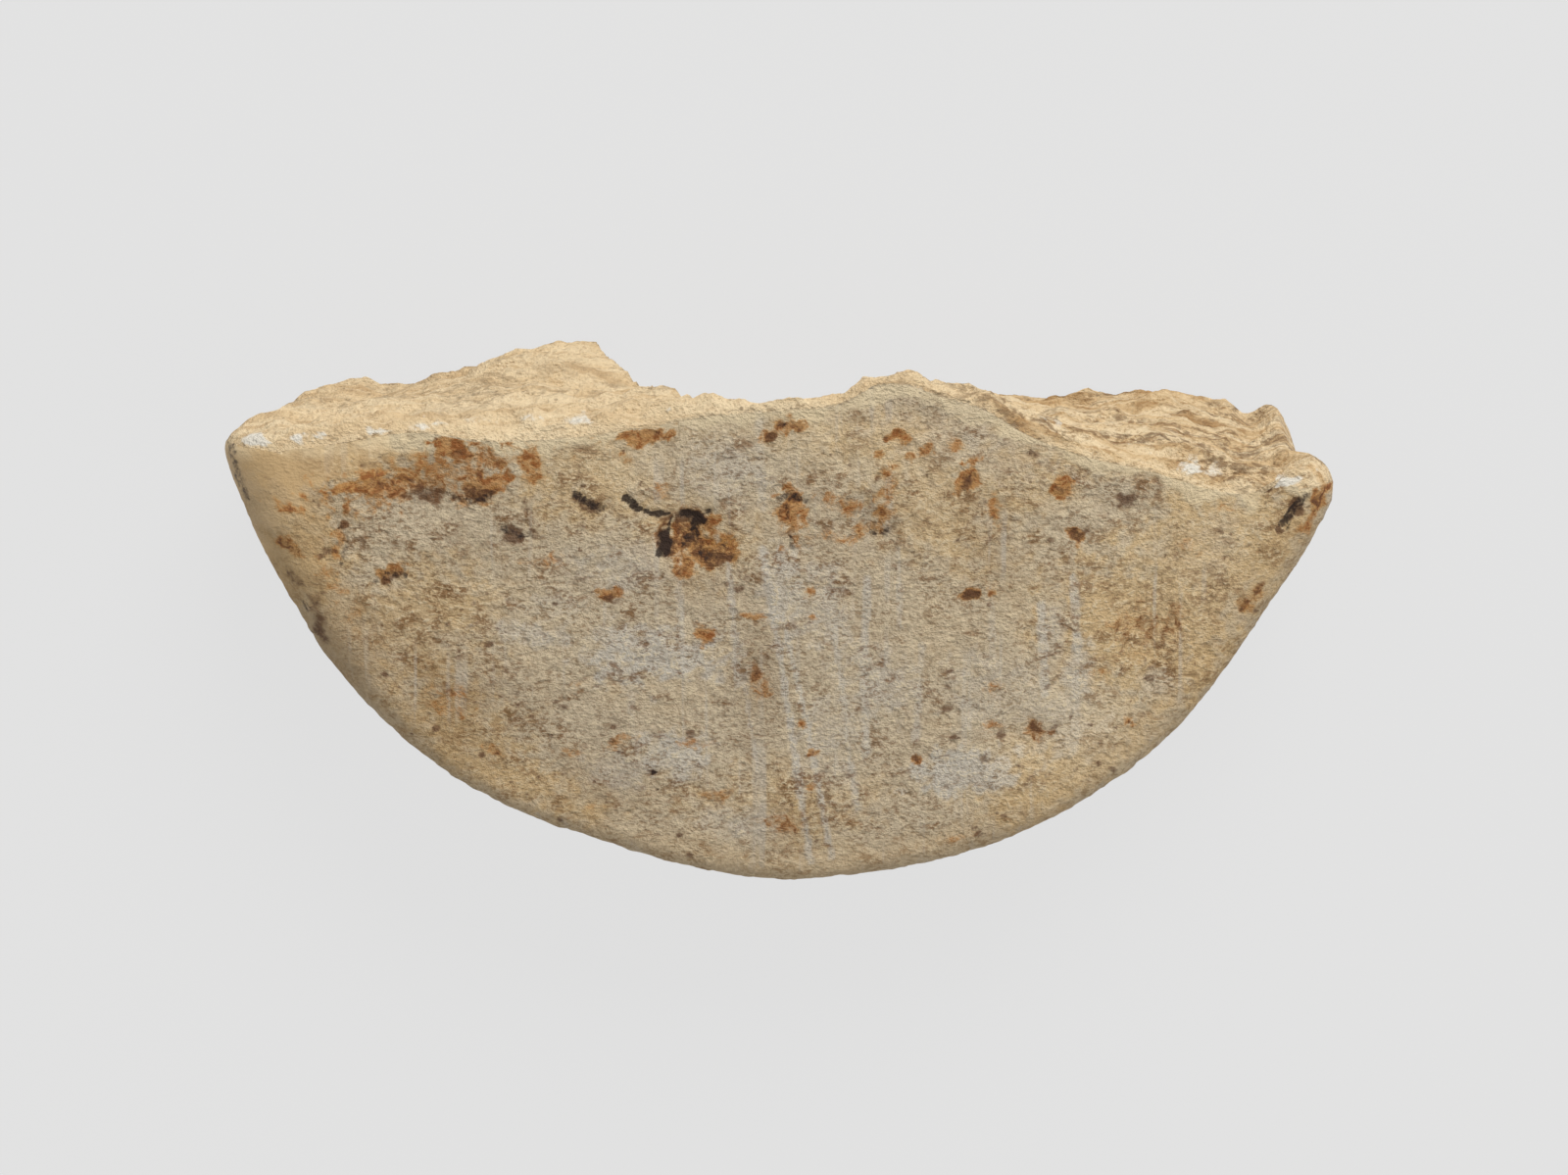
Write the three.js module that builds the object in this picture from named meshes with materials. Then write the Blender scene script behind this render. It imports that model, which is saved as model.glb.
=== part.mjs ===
// A stone spindle whorl that broke in two across its spindle hole: the half that is left.
//
// Lengths are in millimetres and angles in degrees. The half lies on its flat back with the
// spindle's axis upright along +Z, the rim towards -Y and the broken side towards +Y.
// An angle on the rim is counted from -Y and grows towards +X.
//
// The stone is bedded parallel to its two faces, so the solid is a stack of levels. Each level
// is one closed outline: the rim from the left corner to the right one, then the break back
// again. Walls join the levels, and a net of points closes the front and the back.

import * as THREE from 'three';

// The disc as it was made
const DISC_DIAMETER = 50.8;
const DISC_THICKNESS = 10;
const FACE_CROWN = 0.8;

// The front and back edges are rounded, most at the left end of the rim
const FRONT_EDGE_LEFT = 2.6;
const FRONT_EDGE_MIDDLE = 0.9;
const FRONT_EDGE_RIGHT = 1.5;
const BACK_EDGE_LEFT = 1.2;
const BACK_EDGE_MIDDLE = 1.2;
const BACK_EDGE_RIGHT = 0.5;
const EDGE_WALL_SHARE = 0.45;

// The wall of the rim leans in towards the back, most at the left end
const RIM_LEAN_LEFT = 3.4;
const RIM_LEAN_MIDDLE = 0.8;
const RIM_LEAN_RIGHT = 0.1;
const UPRIGHT_WALL_SHARE = 0.22;

// Between these angles a size changes from its middle value to its left or right one
const RIM_MIDDLE_ENDS = 25;
const RIM_SIDE_STARTS = 72;

// Flats that the maker left when the rim was ground round
const RIM_FLATS = [
  { angle: -62, width: 9, depth: 0.16 },
  { angle: -18, width: 13, depth: 0.5 },
  { angle: 8, width: 8, depth: 0.12 },
  { angle: 56, width: 12, depth: 0.52 },
];

// A chip has taken the back of the rim away at the right corner and left a lip in front
const CHIP_DEPTH = 1.15;
const CHIP_LENGTH = 11;
const LIP_THICKNESS = 1.9;
const LIP_SLOPE = 0.7;

// The spindle hole: a cone drilled in from the back, which broke through in front and left a
// thin lip of stone around a narrower mouth
const HOLE_BACK_DIAMETER = 17.8;
const HOLE_NECK_DIAMETER = 9.5;
const HOLE_MOUTH_DIAMETER = 6.4;
const HOLE_LIP_THICKNESS = 1.1;

// Where the break leaves the rim, as a distance from the axis towards -Y
const LEFT_CORNER_DROP = 5.9;
const RIGHT_CORNER_DROP = 7.7;

// The break's two edges: share of the way from the left corner to the right one, and height
// above the straight line between the corners
const FRONT_BREAK_LINE = [
  [0, 0], [0.008, 0.45], [0.03, 0.7], [0.06, 1.0], [0.125, 1.6], [0.155, 1.6], [0.19, 1.4],
  [0.3, 1.85], [0.37, 2.45], [0.42, 2.95], [0.5, 3.4], [0.55, 3.75], [0.58, 4.55], [0.605, 4.7],
  [0.645, 4.25], [0.69, 3.65], [0.725, 2.75], [0.785, 1.8], [0.855, 1.15], [0.91, 0.5],
  [0.945, 0.35], [0.99, 0.9], [1, 0],
];
const BACK_BREAK_LINE = [
  [0, 0], [0.01, 0.9], [0.03, 1.4], [0.1, 1.3], [0.16, 2.1], [0.21, 2.95], [0.255, 3.35],
  [0.35, 3.0], [0.5, 2.6], [0.68, 1.95], [0.77, 2.0], [0.86, 2.55], [0.92, 2.1], [0.95, 1.45],
  [0.98, 1.9], [1, 0],
];

// The break's sharp edges are worn round
const FRONT_BREAK_WEAR = 0.55;
const BACK_BREAK_WEAR = 0.35;

// The beds of the stone end in ledges on the break
const LEDGE_DEPTH = 0.28;
const LEDGE_LENGTH = 5.5;
const CHIP_RIPPLE_DEPTH = 0.12;
const CHIP_RIPPLE_LENGTH = 1.7;
const LEDGE_FADE_SHARE = 0.05;

// Soft waves of the weathered front face, and the hollows where soft spots crumbled out of it
const FACE_RELIEF_DEPTH = 0.1;
const FACE_RELIEF_LENGTH = 4.5;
const FACE_HOLLOWS = [
  { angle: -24, reach: 10.4, width: 4.2, depth: 0.4 },
  { angle: -63, reach: 17.4, width: 4.6, depth: 0.3 },
  { angle: 21, reach: 9.8, width: 3.8, depth: 0.3 },
  { angle: 50, reach: 20.4, width: 5.2, depth: 0.25 },
  { angle: 29, reach: 21.2, width: 4.0, depth: 0.25 },
];

// How finely the surface is divided
const STEPS_ALONG = 80;
const STEPS_ACROSS = 26;
const STEPS_ACROSS_BACK = 8;
const STEPS_THROUGH = 18;

const { clamp, degToRad, lerp, radToDeg, smoothstep } = THREE.MathUtils;

// Repeatable noise: a fixed number for each whole step, and smooth curves between the steps
function latticeValue(column, row) {
  const wave = Math.sin(column * 127.1 + row * 311.7) * 43758.5453;
  return 2 * (wave - Math.floor(wave)) - 1;
}

function noise(along, row) {
  const column = Math.floor(along);
  const blend = smoothstep(along - column, 0, 1);
  return lerp(latticeValue(column, row), latticeValue(column + 1, row), blend);
}

function planeNoise(x, y) {
  const row = Math.floor(y);
  const blend = smoothstep(y - row, 0, 1);
  return lerp(noise(x, row), noise(x, row + 1), blend);
}

// A smooth curve through [share, height] pairs
function curveThrough(pairs) {
  const shares = new Float32Array(pairs.map((pair) => pair[0]));
  const heights = new Float32Array(pairs.map((pair) => pair[1]));
  const spline = new THREE.CubicInterpolant(shares, heights, 1, new Float32Array(1));
  return (share) => spline.evaluate(share)[0];
}

const frontBreakHeight = curveThrough(FRONT_BREAK_LINE);
const backBreakHeight = curveThrough(BACK_BREAK_LINE);

// A size that changes along the rim
function alongRim(angle, left, middle, right) {
  const towardsLeft = smoothstep(-angle, RIM_MIDDLE_ENDS, RIM_SIDE_STARTS);
  const towardsRight = smoothstep(angle, RIM_MIDDLE_ENDS, RIM_SIDE_STARTS);
  return middle + (left - middle) * towardsLeft + (right - middle) * towardsRight;
}

// The rim's radius where the wall stands out most
function fullRadius(angle) {
  let radius = DISC_DIAMETER / 2;
  for (const flat of RIM_FLATS) {
    const away = (angle - flat.angle) / flat.width;
    radius -= flat.depth * Math.exp(-away * away);
  }
  return radius;
}

// How far a rounded edge has drawn in at a height above where its rounding starts
function roundedInset(rounding, height) {
  const over = clamp(height, 0, rounding);
  return rounding - Math.sqrt(rounding * rounding - over * over);
}

// How far the rim's wall lies inside its full radius; a share of 1 is the front, 0 the back
function wallInset(angle, share) {
  const wall = DISC_THICKNESS - FACE_CROWN;
  const height = wall * share;
  const roundestEdge = wall * EDGE_WALL_SHARE;
  const frontEdge = alongRim(angle, FRONT_EDGE_LEFT, FRONT_EDGE_MIDDLE, FRONT_EDGE_RIGHT);
  const backEdge = alongRim(angle, BACK_EDGE_LEFT, BACK_EDGE_MIDDLE, BACK_EDGE_RIGHT);
  const frontRounding = Math.min(frontEdge, roundestEdge);
  const backRounding = Math.min(backEdge, roundestEdge);
  const front = roundedInset(frontRounding, height - (wall - frontRounding));
  const back = roundedInset(backRounding, backRounding - height);
  const lean = alongRim(angle, RIM_LEAN_LEFT, RIM_LEAN_MIDDLE, RIM_LEAN_RIGHT);
  const leaning = Math.max(0, 1 - share - UPRIGHT_WALL_SHARE) / (1 - UPRIGHT_WALL_SHARE);
  return front + back + lean * leaning + chipInset(angle, wall - height);
}

function chipInset(angle, depthBelowFace) {
  const corner = cornerAngle(RIGHT_CORNER_DROP, DISC_DIAMETER / 2);
  const alongChip = smoothstep(angle, corner - CHIP_LENGTH, corner);
  const belowLip = smoothstep(depthBelowFace, LIP_THICKNESS, LIP_THICKNESS + LIP_SLOPE);
  return CHIP_DEPTH * alongChip * belowLip;
}

function rimRadius(angle, share) {
  return fullRadius(angle) - wallInset(angle, share);
}

// The angle at which a circle about the axis reaches a given distance below it
function cornerAngle(drop, radius) {
  return radToDeg(Math.acos(clamp(drop / radius, 0, 1)));
}

// The left and right ends of a level, where the rim meets the break
function levelEnds(share) {
  const leftStart = -cornerAngle(LEFT_CORNER_DROP, DISC_DIAMETER / 2);
  const rightStart = cornerAngle(RIGHT_CORNER_DROP, DISC_DIAMETER / 2);
  return {
    left: -cornerAngle(LEFT_CORNER_DROP, rimRadius(leftStart, share)),
    right: cornerAngle(RIGHT_CORNER_DROP, rimRadius(rightStart, share)),
  };
}

function rimPoint(angle, share) {
  const radius = rimRadius(angle, share);
  const turn = degToRad(angle);
  return new THREE.Vector2(radius * Math.sin(turn), -radius * Math.cos(turn));
}

function holeRadius(share) {
  const cone = lerp(HOLE_BACK_DIAMETER, HOLE_NECK_DIAMETER, share);
  const belowLip = smoothstep(DISC_THICKNESS * (1 - share), 0, HOLE_LIP_THICKNESS);
  return lerp(HOLE_MOUTH_DIAMETER, cone, belowLip) / 2;
}

// The ledges and chips that stand out of the break on one bed of the stone
function ledge(x, bed, along) {
  const fade = smoothstep(Math.min(along, 1 - along), 0, LEDGE_FADE_SHARE);
  const steps = LEDGE_DEPTH * noise(x / LEDGE_LENGTH, bed);
  const ripples = CHIP_RIPPLE_DEPTH * noise(x / CHIP_RIPPLE_LENGTH, bed + STEPS_THROUGH);
  return fade * (steps + ripples);
}

// How far wear has drawn the break's front and back edges in
function breakWear(share, along) {
  const depth = DISC_THICKNESS * (1 - share);
  const height = DISC_THICKNESS * share;
  const front = roundedInset(FRONT_BREAK_WEAR, FRONT_BREAK_WEAR - depth);
  const back = roundedInset(BACK_BREAK_WEAR, BACK_BREAK_WEAR - height);
  const fade = smoothstep(Math.min(along, 1 - along), 0, LEDGE_FADE_SHARE);
  return fade * (front + back);
}

// A point of the break: part of the broken wall, or of the spindle hole where that cuts deeper
function breakPoint(left, right, along, level) {
  const share = levelShare(level);
  const x = lerp(left.x, right.x, along);
  const rise = lerp(backBreakHeight(along), frontBreakHeight(along), share);
  const insideFaces = level > 0 && level < STEPS_THROUGH;
  const roughness = insideFaces ? ledge(x, level, along) : 0;
  let y = lerp(left.y, right.y, along) + rise + roughness;
  const radius = holeRadius(share);
  if (Math.abs(x) < radius) {
    y = Math.min(y, -Math.sqrt(radius * radius - x * x));
  }
  return new THREE.Vector2(x, y - breakWear(share, along));
}

// Levels lie closer together near the two faces, where the edges are rounded
function levelShare(level) {
  return (1 - Math.cos(Math.PI * level / STEPS_THROUGH)) / 2;
}

// The height of the front face above the back at a point
function faceHeight(point) {
  const radius = DISC_DIAMETER / 2;
  const fall = FACE_CROWN * point.lengthSq() / (radius * radius);
  const x = point.x / FACE_RELIEF_LENGTH;
  const y = point.y / FACE_RELIEF_LENGTH;
  const relief = FACE_RELIEF_DEPTH * (1 + planeNoise(x, y)) / 2;
  return DISC_THICKNESS - fall - relief - hollowDepth(point);
}

function hollowDepth(point) {
  let depth = 0;
  for (const hollow of FACE_HOLLOWS) {
    const turn = degToRad(hollow.angle);
    const middle = new THREE.Vector2(Math.sin(turn), -Math.cos(turn)).multiplyScalar(hollow.reach);
    depth += hollow.depth * (1 - smoothstep(point.distanceTo(middle), 0, hollow.width / 2));
  }
  return depth;
}

// One level's outline: the rim from left to right, and the break at the same steps
function levelOutline(level) {
  const share = levelShare(level);
  const ends = levelEnds(share);
  const left = rimPoint(ends.left, share);
  const right = rimPoint(ends.right, share);
  const rim = [];
  const broken = [];
  for (let step = 0; step <= STEPS_ALONG; step += 1) {
    const along = step / STEPS_ALONG;
    rim.push(rimPoint(lerp(ends.left, ends.right, along), share));
    broken.push(breakPoint(left, right, along, level));
  }
  broken[0] = rim[0];
  broken[STEPS_ALONG] = rim[STEPS_ALONG];
  return { share, rim, broken };
}

// Collects corners and triangles into one closed surface
class Surface {
  constructor() {
    this.positions = [];
    this.triangles = [];
  }

  addCorner(point, height) {
    this.positions.push(point.x, point.y, height);
    return this.positions.length / 3 - 1;
  }

  addTriangle(a, b, c) {
    if (a !== b && b !== c && c !== a) {
      this.triangles.push(a, b, c);
    }
  }

  addQuad(a, b, c, d) {
    this.addTriangle(a, b, c);
    this.addTriangle(a, c, d);
  }

  geometry() {
    const geometry = new THREE.BufferGeometry();
    geometry.setAttribute('position', new THREE.Float32BufferAttribute(this.positions, 3));
    geometry.setIndex(this.triangles);
    geometry.computeVertexNormals();
    return geometry;
  }
}

// Puts one level's corners into the surface: the rim's, then the break's between the two ends
function addLevel(surface, outline) {
  const corner = (point) => surface.addCorner(point, outline.share * faceHeight(point));
  const rim = outline.rim.map(corner);
  const between = outline.broken.slice(1, STEPS_ALONG).map(corner);
  const broken = [rim[0], ...between, rim[STEPS_ALONG]];
  return { rim, broken };
}

// Closes a face with rows of points between its rim and its break
function addFace(surface, outline, edge, steps, isFront) {
  let before = edge.rim;
  for (let row = 1; row <= steps; row += 1) {
    const across = row / steps;
    const next = row === steps ? edge.broken : edge.rim.map((end, step) => {
      if (step === 0 || step === STEPS_ALONG) {
        return end;
      }
      const point = outline.rim[step].clone().lerp(outline.broken[step], across);
      return surface.addCorner(point, outline.share * faceHeight(point));
    });
    for (let step = 0; step < STEPS_ALONG; step += 1) {
      if (isFront) {
        surface.addQuad(before[step], before[step + 1], next[step + 1], next[step]);
      } else {
        surface.addQuad(before[step], next[step], next[step + 1], before[step + 1]);
      }
    }
    before = next;
  }
}

// Joins two levels along the rim and along the break
function addWalls(surface, lower, upper) {
  for (let step = 0; step < STEPS_ALONG; step += 1) {
    surface.addQuad(lower.rim[step], lower.rim[step + 1], upper.rim[step + 1], upper.rim[step]);
    surface.addQuad(
      lower.broken[step + 1], lower.broken[step], upper.broken[step], upper.broken[step + 1],
    );
  }
}

function whorlHalfGeometry() {
  const surface = new Surface();
  const outlines = [];
  for (let level = 0; level <= STEPS_THROUGH; level += 1) {
    outlines.push(levelOutline(level));
  }
  const edges = outlines.map((outline) => addLevel(surface, outline));
  for (let level = 0; level < STEPS_THROUGH; level += 1) {
    addWalls(surface, edges[level], edges[level + 1]);
  }
  addFace(surface, outlines[0], edges[0], STEPS_ACROSS_BACK, false);
  addFace(surface, outlines[STEPS_THROUGH], edges[STEPS_THROUGH], STEPS_ACROSS, true);
  return surface.geometry();
}

// Weathered pale limestone
const stone = new THREE.MeshStandardMaterial({ color: '#bba684', roughness: 0.85, metalness: 0 });

const whorlHalf = new THREE.Mesh(whorlHalfGeometry(), stone);
whorlHalf.name = 'whorl_half';

// The origin is the middle of the half's footprint, on the surface that it lies on
whorlHalf.geometry.computeBoundingBox();
const footprint = whorlHalf.geometry.boundingBox.getCenter(new THREE.Vector3());
whorlHalf.position.set(-footprint.x, -footprint.y, 0);

const group = new THREE.Group();
group.add(whorlHalf);

export default group;
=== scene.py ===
# %% [markdown]
# The dressed half of a stone spindle whorl
# A whorl is the weight on a hand spindle. This one was ground from pale bedded limestone and
# broke in two across its hole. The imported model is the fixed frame: it says where the stone
# lies and how large it is. This script makes the fine surface and the weathered finish.

# %% The frame
import math

import bpy
import numpy as np
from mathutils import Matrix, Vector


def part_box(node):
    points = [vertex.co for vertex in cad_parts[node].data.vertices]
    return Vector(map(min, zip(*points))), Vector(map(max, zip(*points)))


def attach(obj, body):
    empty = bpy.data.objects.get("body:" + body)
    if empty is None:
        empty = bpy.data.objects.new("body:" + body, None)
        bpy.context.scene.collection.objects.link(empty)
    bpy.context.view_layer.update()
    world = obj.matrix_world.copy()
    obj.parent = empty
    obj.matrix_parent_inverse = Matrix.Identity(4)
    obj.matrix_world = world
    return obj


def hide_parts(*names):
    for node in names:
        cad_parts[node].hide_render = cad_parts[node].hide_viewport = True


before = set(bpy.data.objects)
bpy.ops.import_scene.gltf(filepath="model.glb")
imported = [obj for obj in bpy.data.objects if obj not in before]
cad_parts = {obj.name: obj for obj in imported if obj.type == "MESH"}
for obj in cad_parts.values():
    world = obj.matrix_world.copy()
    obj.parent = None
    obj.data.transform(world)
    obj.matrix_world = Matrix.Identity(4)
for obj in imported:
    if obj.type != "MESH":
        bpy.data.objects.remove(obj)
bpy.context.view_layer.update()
NODE = "whorl_half"
NODE_LOW, NODE_HIGH = [np.array(corner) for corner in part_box(NODE)]
MM = 0.001
print("the stone in mm:", np.round((NODE_HIGH - NODE_LOW) / MM, 2))

# %% [markdown]
# The camera and the light come first, because every later choice is checked in the picture.
# The photograph looks down on the front face, but not square on: the camera stands 12 degrees
# towards the broken side, so a strip of the break shows above the face. A long lens far away
# keeps the stone's far edge as large as its near one.

# %% The camera
CAMERA_TILT = math.radians(12)
CAMERA_DISTANCE = 378.2 * MM
CAMERA_LENS = 200
CAMERA_SENSOR = 36
AIM = np.array([0.211, 1.98, 10.0]) * MM

camera_data = bpy.data.cameras.new("camera")
camera_data.lens = CAMERA_LENS
camera_data.sensor_width = CAMERA_SENSOR
camera = bpy.data.objects.new("camera", camera_data)
towards_camera = np.array([0, math.sin(CAMERA_TILT), math.cos(CAMERA_TILT)])
camera.location = AIM + CAMERA_DISTANCE * towards_camera
camera.rotation_euler = (-CAMERA_TILT, 0, 0)
bpy.context.scene.collection.objects.link(camera)
bpy.context.scene.camera = camera
print("camera at, mm:", np.round(np.array(camera.location) / MM, 1))

# %% [markdown]
# Colours are written as a screen shows them, from 0 to 255, because that is how an eye judges
# them. Blender mixes light in linear values, so a helper turns one into the other by the rule
# of the sRGB standard, whose numbers it holds.

# %% Colours as a screen shows them


def screen_colour(red, green, blue):
    shares = np.array([red, green, blue]) / 255
    linear = np.where(shares < 0.04045, shares / 12.92, ((shares + 0.055) / 1.055) ** 2.4)
    return (*linear.tolist(), 1.0)


BACKGROUND = screen_colour(226, 226, 226)
print("the background as linear light:", round(BACKGROUND[0], 3))

# %% [markdown]
# The room, the floor, the finish and the weathering are all trees of nodes. A small kit adds a
# node, and links or sets its inputs, in one line each, so that a tree reads like a formula.

# %% A small kit for node trees


class Kit:
    def __init__(self, tree):
        self.nodes = tree.nodes
        self.links = tree.links

    def set(self, socket, value):
        if isinstance(value, bpy.types.NodeSocket):
            self.links.new(value, socket)
        else:
            socket.default_value = value

    def math(self, operation, first, second=0.0, third=0.0):
        node = self.nodes.new("ShaderNodeMath")
        node.operation = operation
        for socket, value in zip(node.inputs, (first, second, third)):
            self.set(socket, value)
        return node.outputs[0]

    def times(self, first, second):
        return self.math("MULTIPLY", first, second)

    def plus(self, first, share, added):
        """The first value, with a share of another one added."""
        return self.math("MULTIPLY_ADD", added, share, first)

    def between(self, value, low, high, to_low=0.0, to_high=1.0):
        """A soft step from to_low, where the value is low, up or down to to_high."""
        node = self.nodes.new("ShaderNodeMapRange")
        node.interpolation_type = "SMOOTHSTEP"
        for name, number in (("Value", value), ("From Min", low), ("From Max", high),
                             ("To Min", to_low), ("To Max", to_high)):
            self.set(node.inputs[name], number)
        return node.outputs["Result"]

    def camera_sees(self, plain, seen, share, output):
        """Shows the second shader to rays from the camera, and the first to all others."""
        rays = self.nodes.new("ShaderNodeLightPath")
        choice = self.nodes.new("ShaderNodeMixShader")
        self.set(choice.inputs[0], self.times(rays.outputs["Is Camera Ray"], share))
        self.set(choice.inputs[1], plain.outputs[0])
        self.set(choice.inputs[2], seen.outputs[0])
        self.set(output.inputs["Surface"], choice.outputs[0])


# %% [markdown]
# A large lamp stands behind the break and a little to the right, as in the photograph, and a
# weak one opens the shadows from the front. Together with the room they give about one unit of
# light, so that a colour renders about as it is written.

# %% The lamps
KEY_POWER = 2.45
KEY_PLACE = (0.14, 0.42, 0.3)
FILL_POWER = 0.35
FILL_PLACE = (0.4, -0.15, 0.35)
LAMP_SIZE = 0.3


def add_lamp(name, place, power):
    data = bpy.data.lights.new(name, "AREA")
    data.energy = power
    data.size = LAMP_SIZE
    lamp = bpy.data.objects.new(name, data)
    lamp.location = place
    bpy.context.scene.collection.objects.link(lamp)
    towards_stone = -lamp.location
    lamp.rotation_euler = towards_stone.to_track_quat("-Z", "Y").to_euler()
    print(name, "stands", round(lamp.location.length, 2), "m away")


add_lamp("key_lamp", KEY_PLACE, KEY_POWER)
add_lamp("fill_lamp", FILL_PLACE, FILL_POWER)

# %% [markdown]
# The room lights the stone softly from all sides, but the camera should see plain pale grey.
# The world asks whether a ray comes from the camera, and answers with one of two backgrounds.

# %% The room
ROOM_LIGHT = 0.53
ROOM_TINT = (1, 0.985, 0.96, 1)
world = bpy.data.worlds.new("room")
bpy.context.scene.world = world
world.use_nodes = True
room = Kit(world.node_tree)
room_light = room.nodes["Background"]
room_light.inputs["Color"].default_value = ROOM_TINT
room_light.inputs["Strength"].default_value = ROOM_LIGHT
room_view = room.nodes.new("ShaderNodeBackground")
room_view.inputs["Color"].default_value = BACKGROUND
room.camera_sees(room_light, room_view, 1, room.nodes["World Output"])
print("nodes in the room:", len(room.nodes))

# %% [markdown]
# The floor glows a little for the camera alone, so it melts into the background and still keeps
# the stone's soft shadow.

# %% The floor
FLOOR_SIZE = 4
FLOOR_GLOW = 0.93
half_floor = FLOOR_SIZE / 2
floor_mesh = bpy.data.meshes.new("floor")
floor_mesh.from_pydata(
    [(-half_floor, -half_floor, 0), (half_floor, -half_floor, 0),
     (half_floor, half_floor, 0), (-half_floor, half_floor, 0)],
    [], [(0, 1, 2, 3)])
floor = bpy.data.objects.new("floor", floor_mesh)
bpy.context.scene.collection.objects.link(floor)
floor_material = bpy.data.materials.new("pale_floor")
floor_material.use_nodes = True
ground = Kit(floor_material.node_tree)
ground.nodes.clear()
floor_paint = ground.nodes.new("ShaderNodeBsdfDiffuse")
floor_paint.inputs["Color"].default_value = BACKGROUND
floor_glow = ground.nodes.new("ShaderNodeEmission")
floor_glow.inputs["Color"].default_value = BACKGROUND
floor_output = ground.nodes.new("ShaderNodeOutputMaterial")
ground.camera_sees(floor_paint, floor_glow, FLOOR_GLOW, floor_output)
floor_mesh.materials.append(floor_material)
print("floor in m:", FLOOR_SIZE)

# %% [markdown]
# The stone is bedded parallel to its two faces, so it is built as a stack of levels. Each level
# is one outline: the rim from the left corner to the right one, then the break back again. A
# boolean cut from a disc would give a clean break, and this one is all ledges and chips.

# %% The sizes of the disc, in mm, with the spindle's axis at x = y = 0
DISC_DIAMETER = 50.8
DISC_THICKNESS = 10
FACE_CROWN = 0.8
LEFT_CORNER_DROP = 5.9
RIGHT_CORNER_DROP = 7.7
WALL = DISC_THICKNESS - FACE_CROWN
print("the rim's wall is", WALL, "mm high")

# %% The sizes of the spindle hole, which was drilled from the back
HOLE_BACK_DIAMETER = 17.8
HOLE_NECK_DIAMETER = 9.5
HOLE_MOUTH_DIAMETER = 6.4
HOLE_LIP_THICKNESS = 1.1
print("the hole narrows from", HOLE_BACK_DIAMETER, "to", HOLE_MOUTH_DIAMETER, "mm")

# %% How finely the surface is divided
STEPS_ALONG = 360
STEPS_ACROSS = 150
STEPS_ACROSS_BACK = 22
STEPS_THROUGH = 38
print("steps along each outline:", 2 * STEPS_ALONG)

# %% [markdown]
# A worn edge needs smooth curves and noise that comes out the same on every run. Blender's own
# noise can't be asked for from plain arithmetic, so this one takes its values from a very steep
# sine at the corners of a grid, and blends between them.

# %% Smooth steps and curves


def smooth(value, low, high):
    share = np.clip((value - low) / (high - low), 0, 1)
    return share * share * (3 - 2 * share)


def curve_through(pairs, shares):
    """A smooth curve through [share, height] pairs, with no bend at its two ends."""
    places = np.array([pair[0] for pair in pairs], float)
    heights = np.array([pair[1] for pair in pairs], float)
    last = len(places) - 1
    after = np.clip(np.searchsorted(places, shares, side="right"), 1, last)
    before = after - 1
    gap = places[after] - places[before]
    behind = np.where(before == 0, after, before - 1)
    ahead = np.where(after == last, before, np.minimum(after + 1, last))
    behind_weight = gap / 2 / (places[before] - places[behind])
    ahead_weight = gap / 2 / (places[ahead] - places[after])
    way = (shares - places[before]) / gap
    square = way * way
    cube = square * way
    pull_behind = behind_weight * (2 * square - cube - way)
    pull_before = ((1 + behind_weight) * cube - (1.5 + 2 * behind_weight) * square
                   + (behind_weight - 0.5) * way + 1)
    pull_after = (-1 - ahead_weight) * cube + (1.5 + ahead_weight) * square + 0.5 * way
    pull_ahead = ahead_weight * (cube - square)
    return (pull_behind * heights[behind] + pull_before * heights[before]
            + pull_after * heights[after] + pull_ahead * heights[ahead])


print("a step half done:", smooth(0.5, 0, 1))

# %% Repeatable noise
COLUMN_TURN = 127.1
ROW_TURN = 311.7
SINE_STEEPNESS = 43758.5453
NOISE_LAYERS = 3
FINER_BY = 2.1
LAYER_TURN = 0.65
LAYER_SHIFT = 17
LAYERS_TOGETHER = 1.6


def lattice_value(column, row):
    wave = np.sin(column * COLUMN_TURN + row * ROW_TURN) * SINE_STEEPNESS
    return 2 * (wave - np.floor(wave)) - 1


def line_noise(along, row):
    column = np.floor(along)
    blend = smooth(along - column, 0, 1)
    return lattice_value(column, row) * (1 - blend) + lattice_value(column + 1, row) * blend


def plane_noise(x, y):
    row = np.floor(y)
    blend = smooth(y - row, 0, 1)
    return line_noise(x, row) * (1 - blend) + line_noise(x, row + 1) * blend


def layered_noise(x, y):
    """Plane noise at ever finer steps, from about -1 to 1, each layer turned a little more."""
    total = 0
    for layer in range(NOISE_LAYERS):
        finer = FINER_BY ** layer
        turn = LAYER_TURN * (layer + 1)
        turned_x = x * math.cos(turn) - y * math.sin(turn)
        turned_y = x * math.sin(turn) + y * math.cos(turn)
        shifted_x = turned_x * finer + LAYER_SHIFT * layer
        total = total + plane_noise(shifted_x, turned_y * finer) / finer
    return total / LAYERS_TOGETHER


print("noise at 0.3, 0.7:", round(float(layered_noise(np.array(0.3), np.array(0.7))), 3))

# %% [markdown]
# The rim was ground round by hand, so it isn't a true circle. It has shallow flats, its front
# edge is worn rounder at the left corner than elsewhere, its wall leans in below, and a chip
# has gone from under the lip at the right corner. All of it is one radius that depends on the
# angle and the height, which a lathe's profile couldn't do.

# %% The rim's wear: sizes at the left, the middle and the right, in mm
FRONT_EDGE = (2.6, 0.9, 1.5)
BACK_EDGE = (1.2, 1.2, 0.5)
EDGE_WALL_SHARE = 0.45
RIM_LEAN = (3.4, 0.8, 0.1)
UPRIGHT_WALL_SHARE = 0.22
RIM_MIDDLE_ENDS = 25
RIM_SIDE_STARTS = 72


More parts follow.
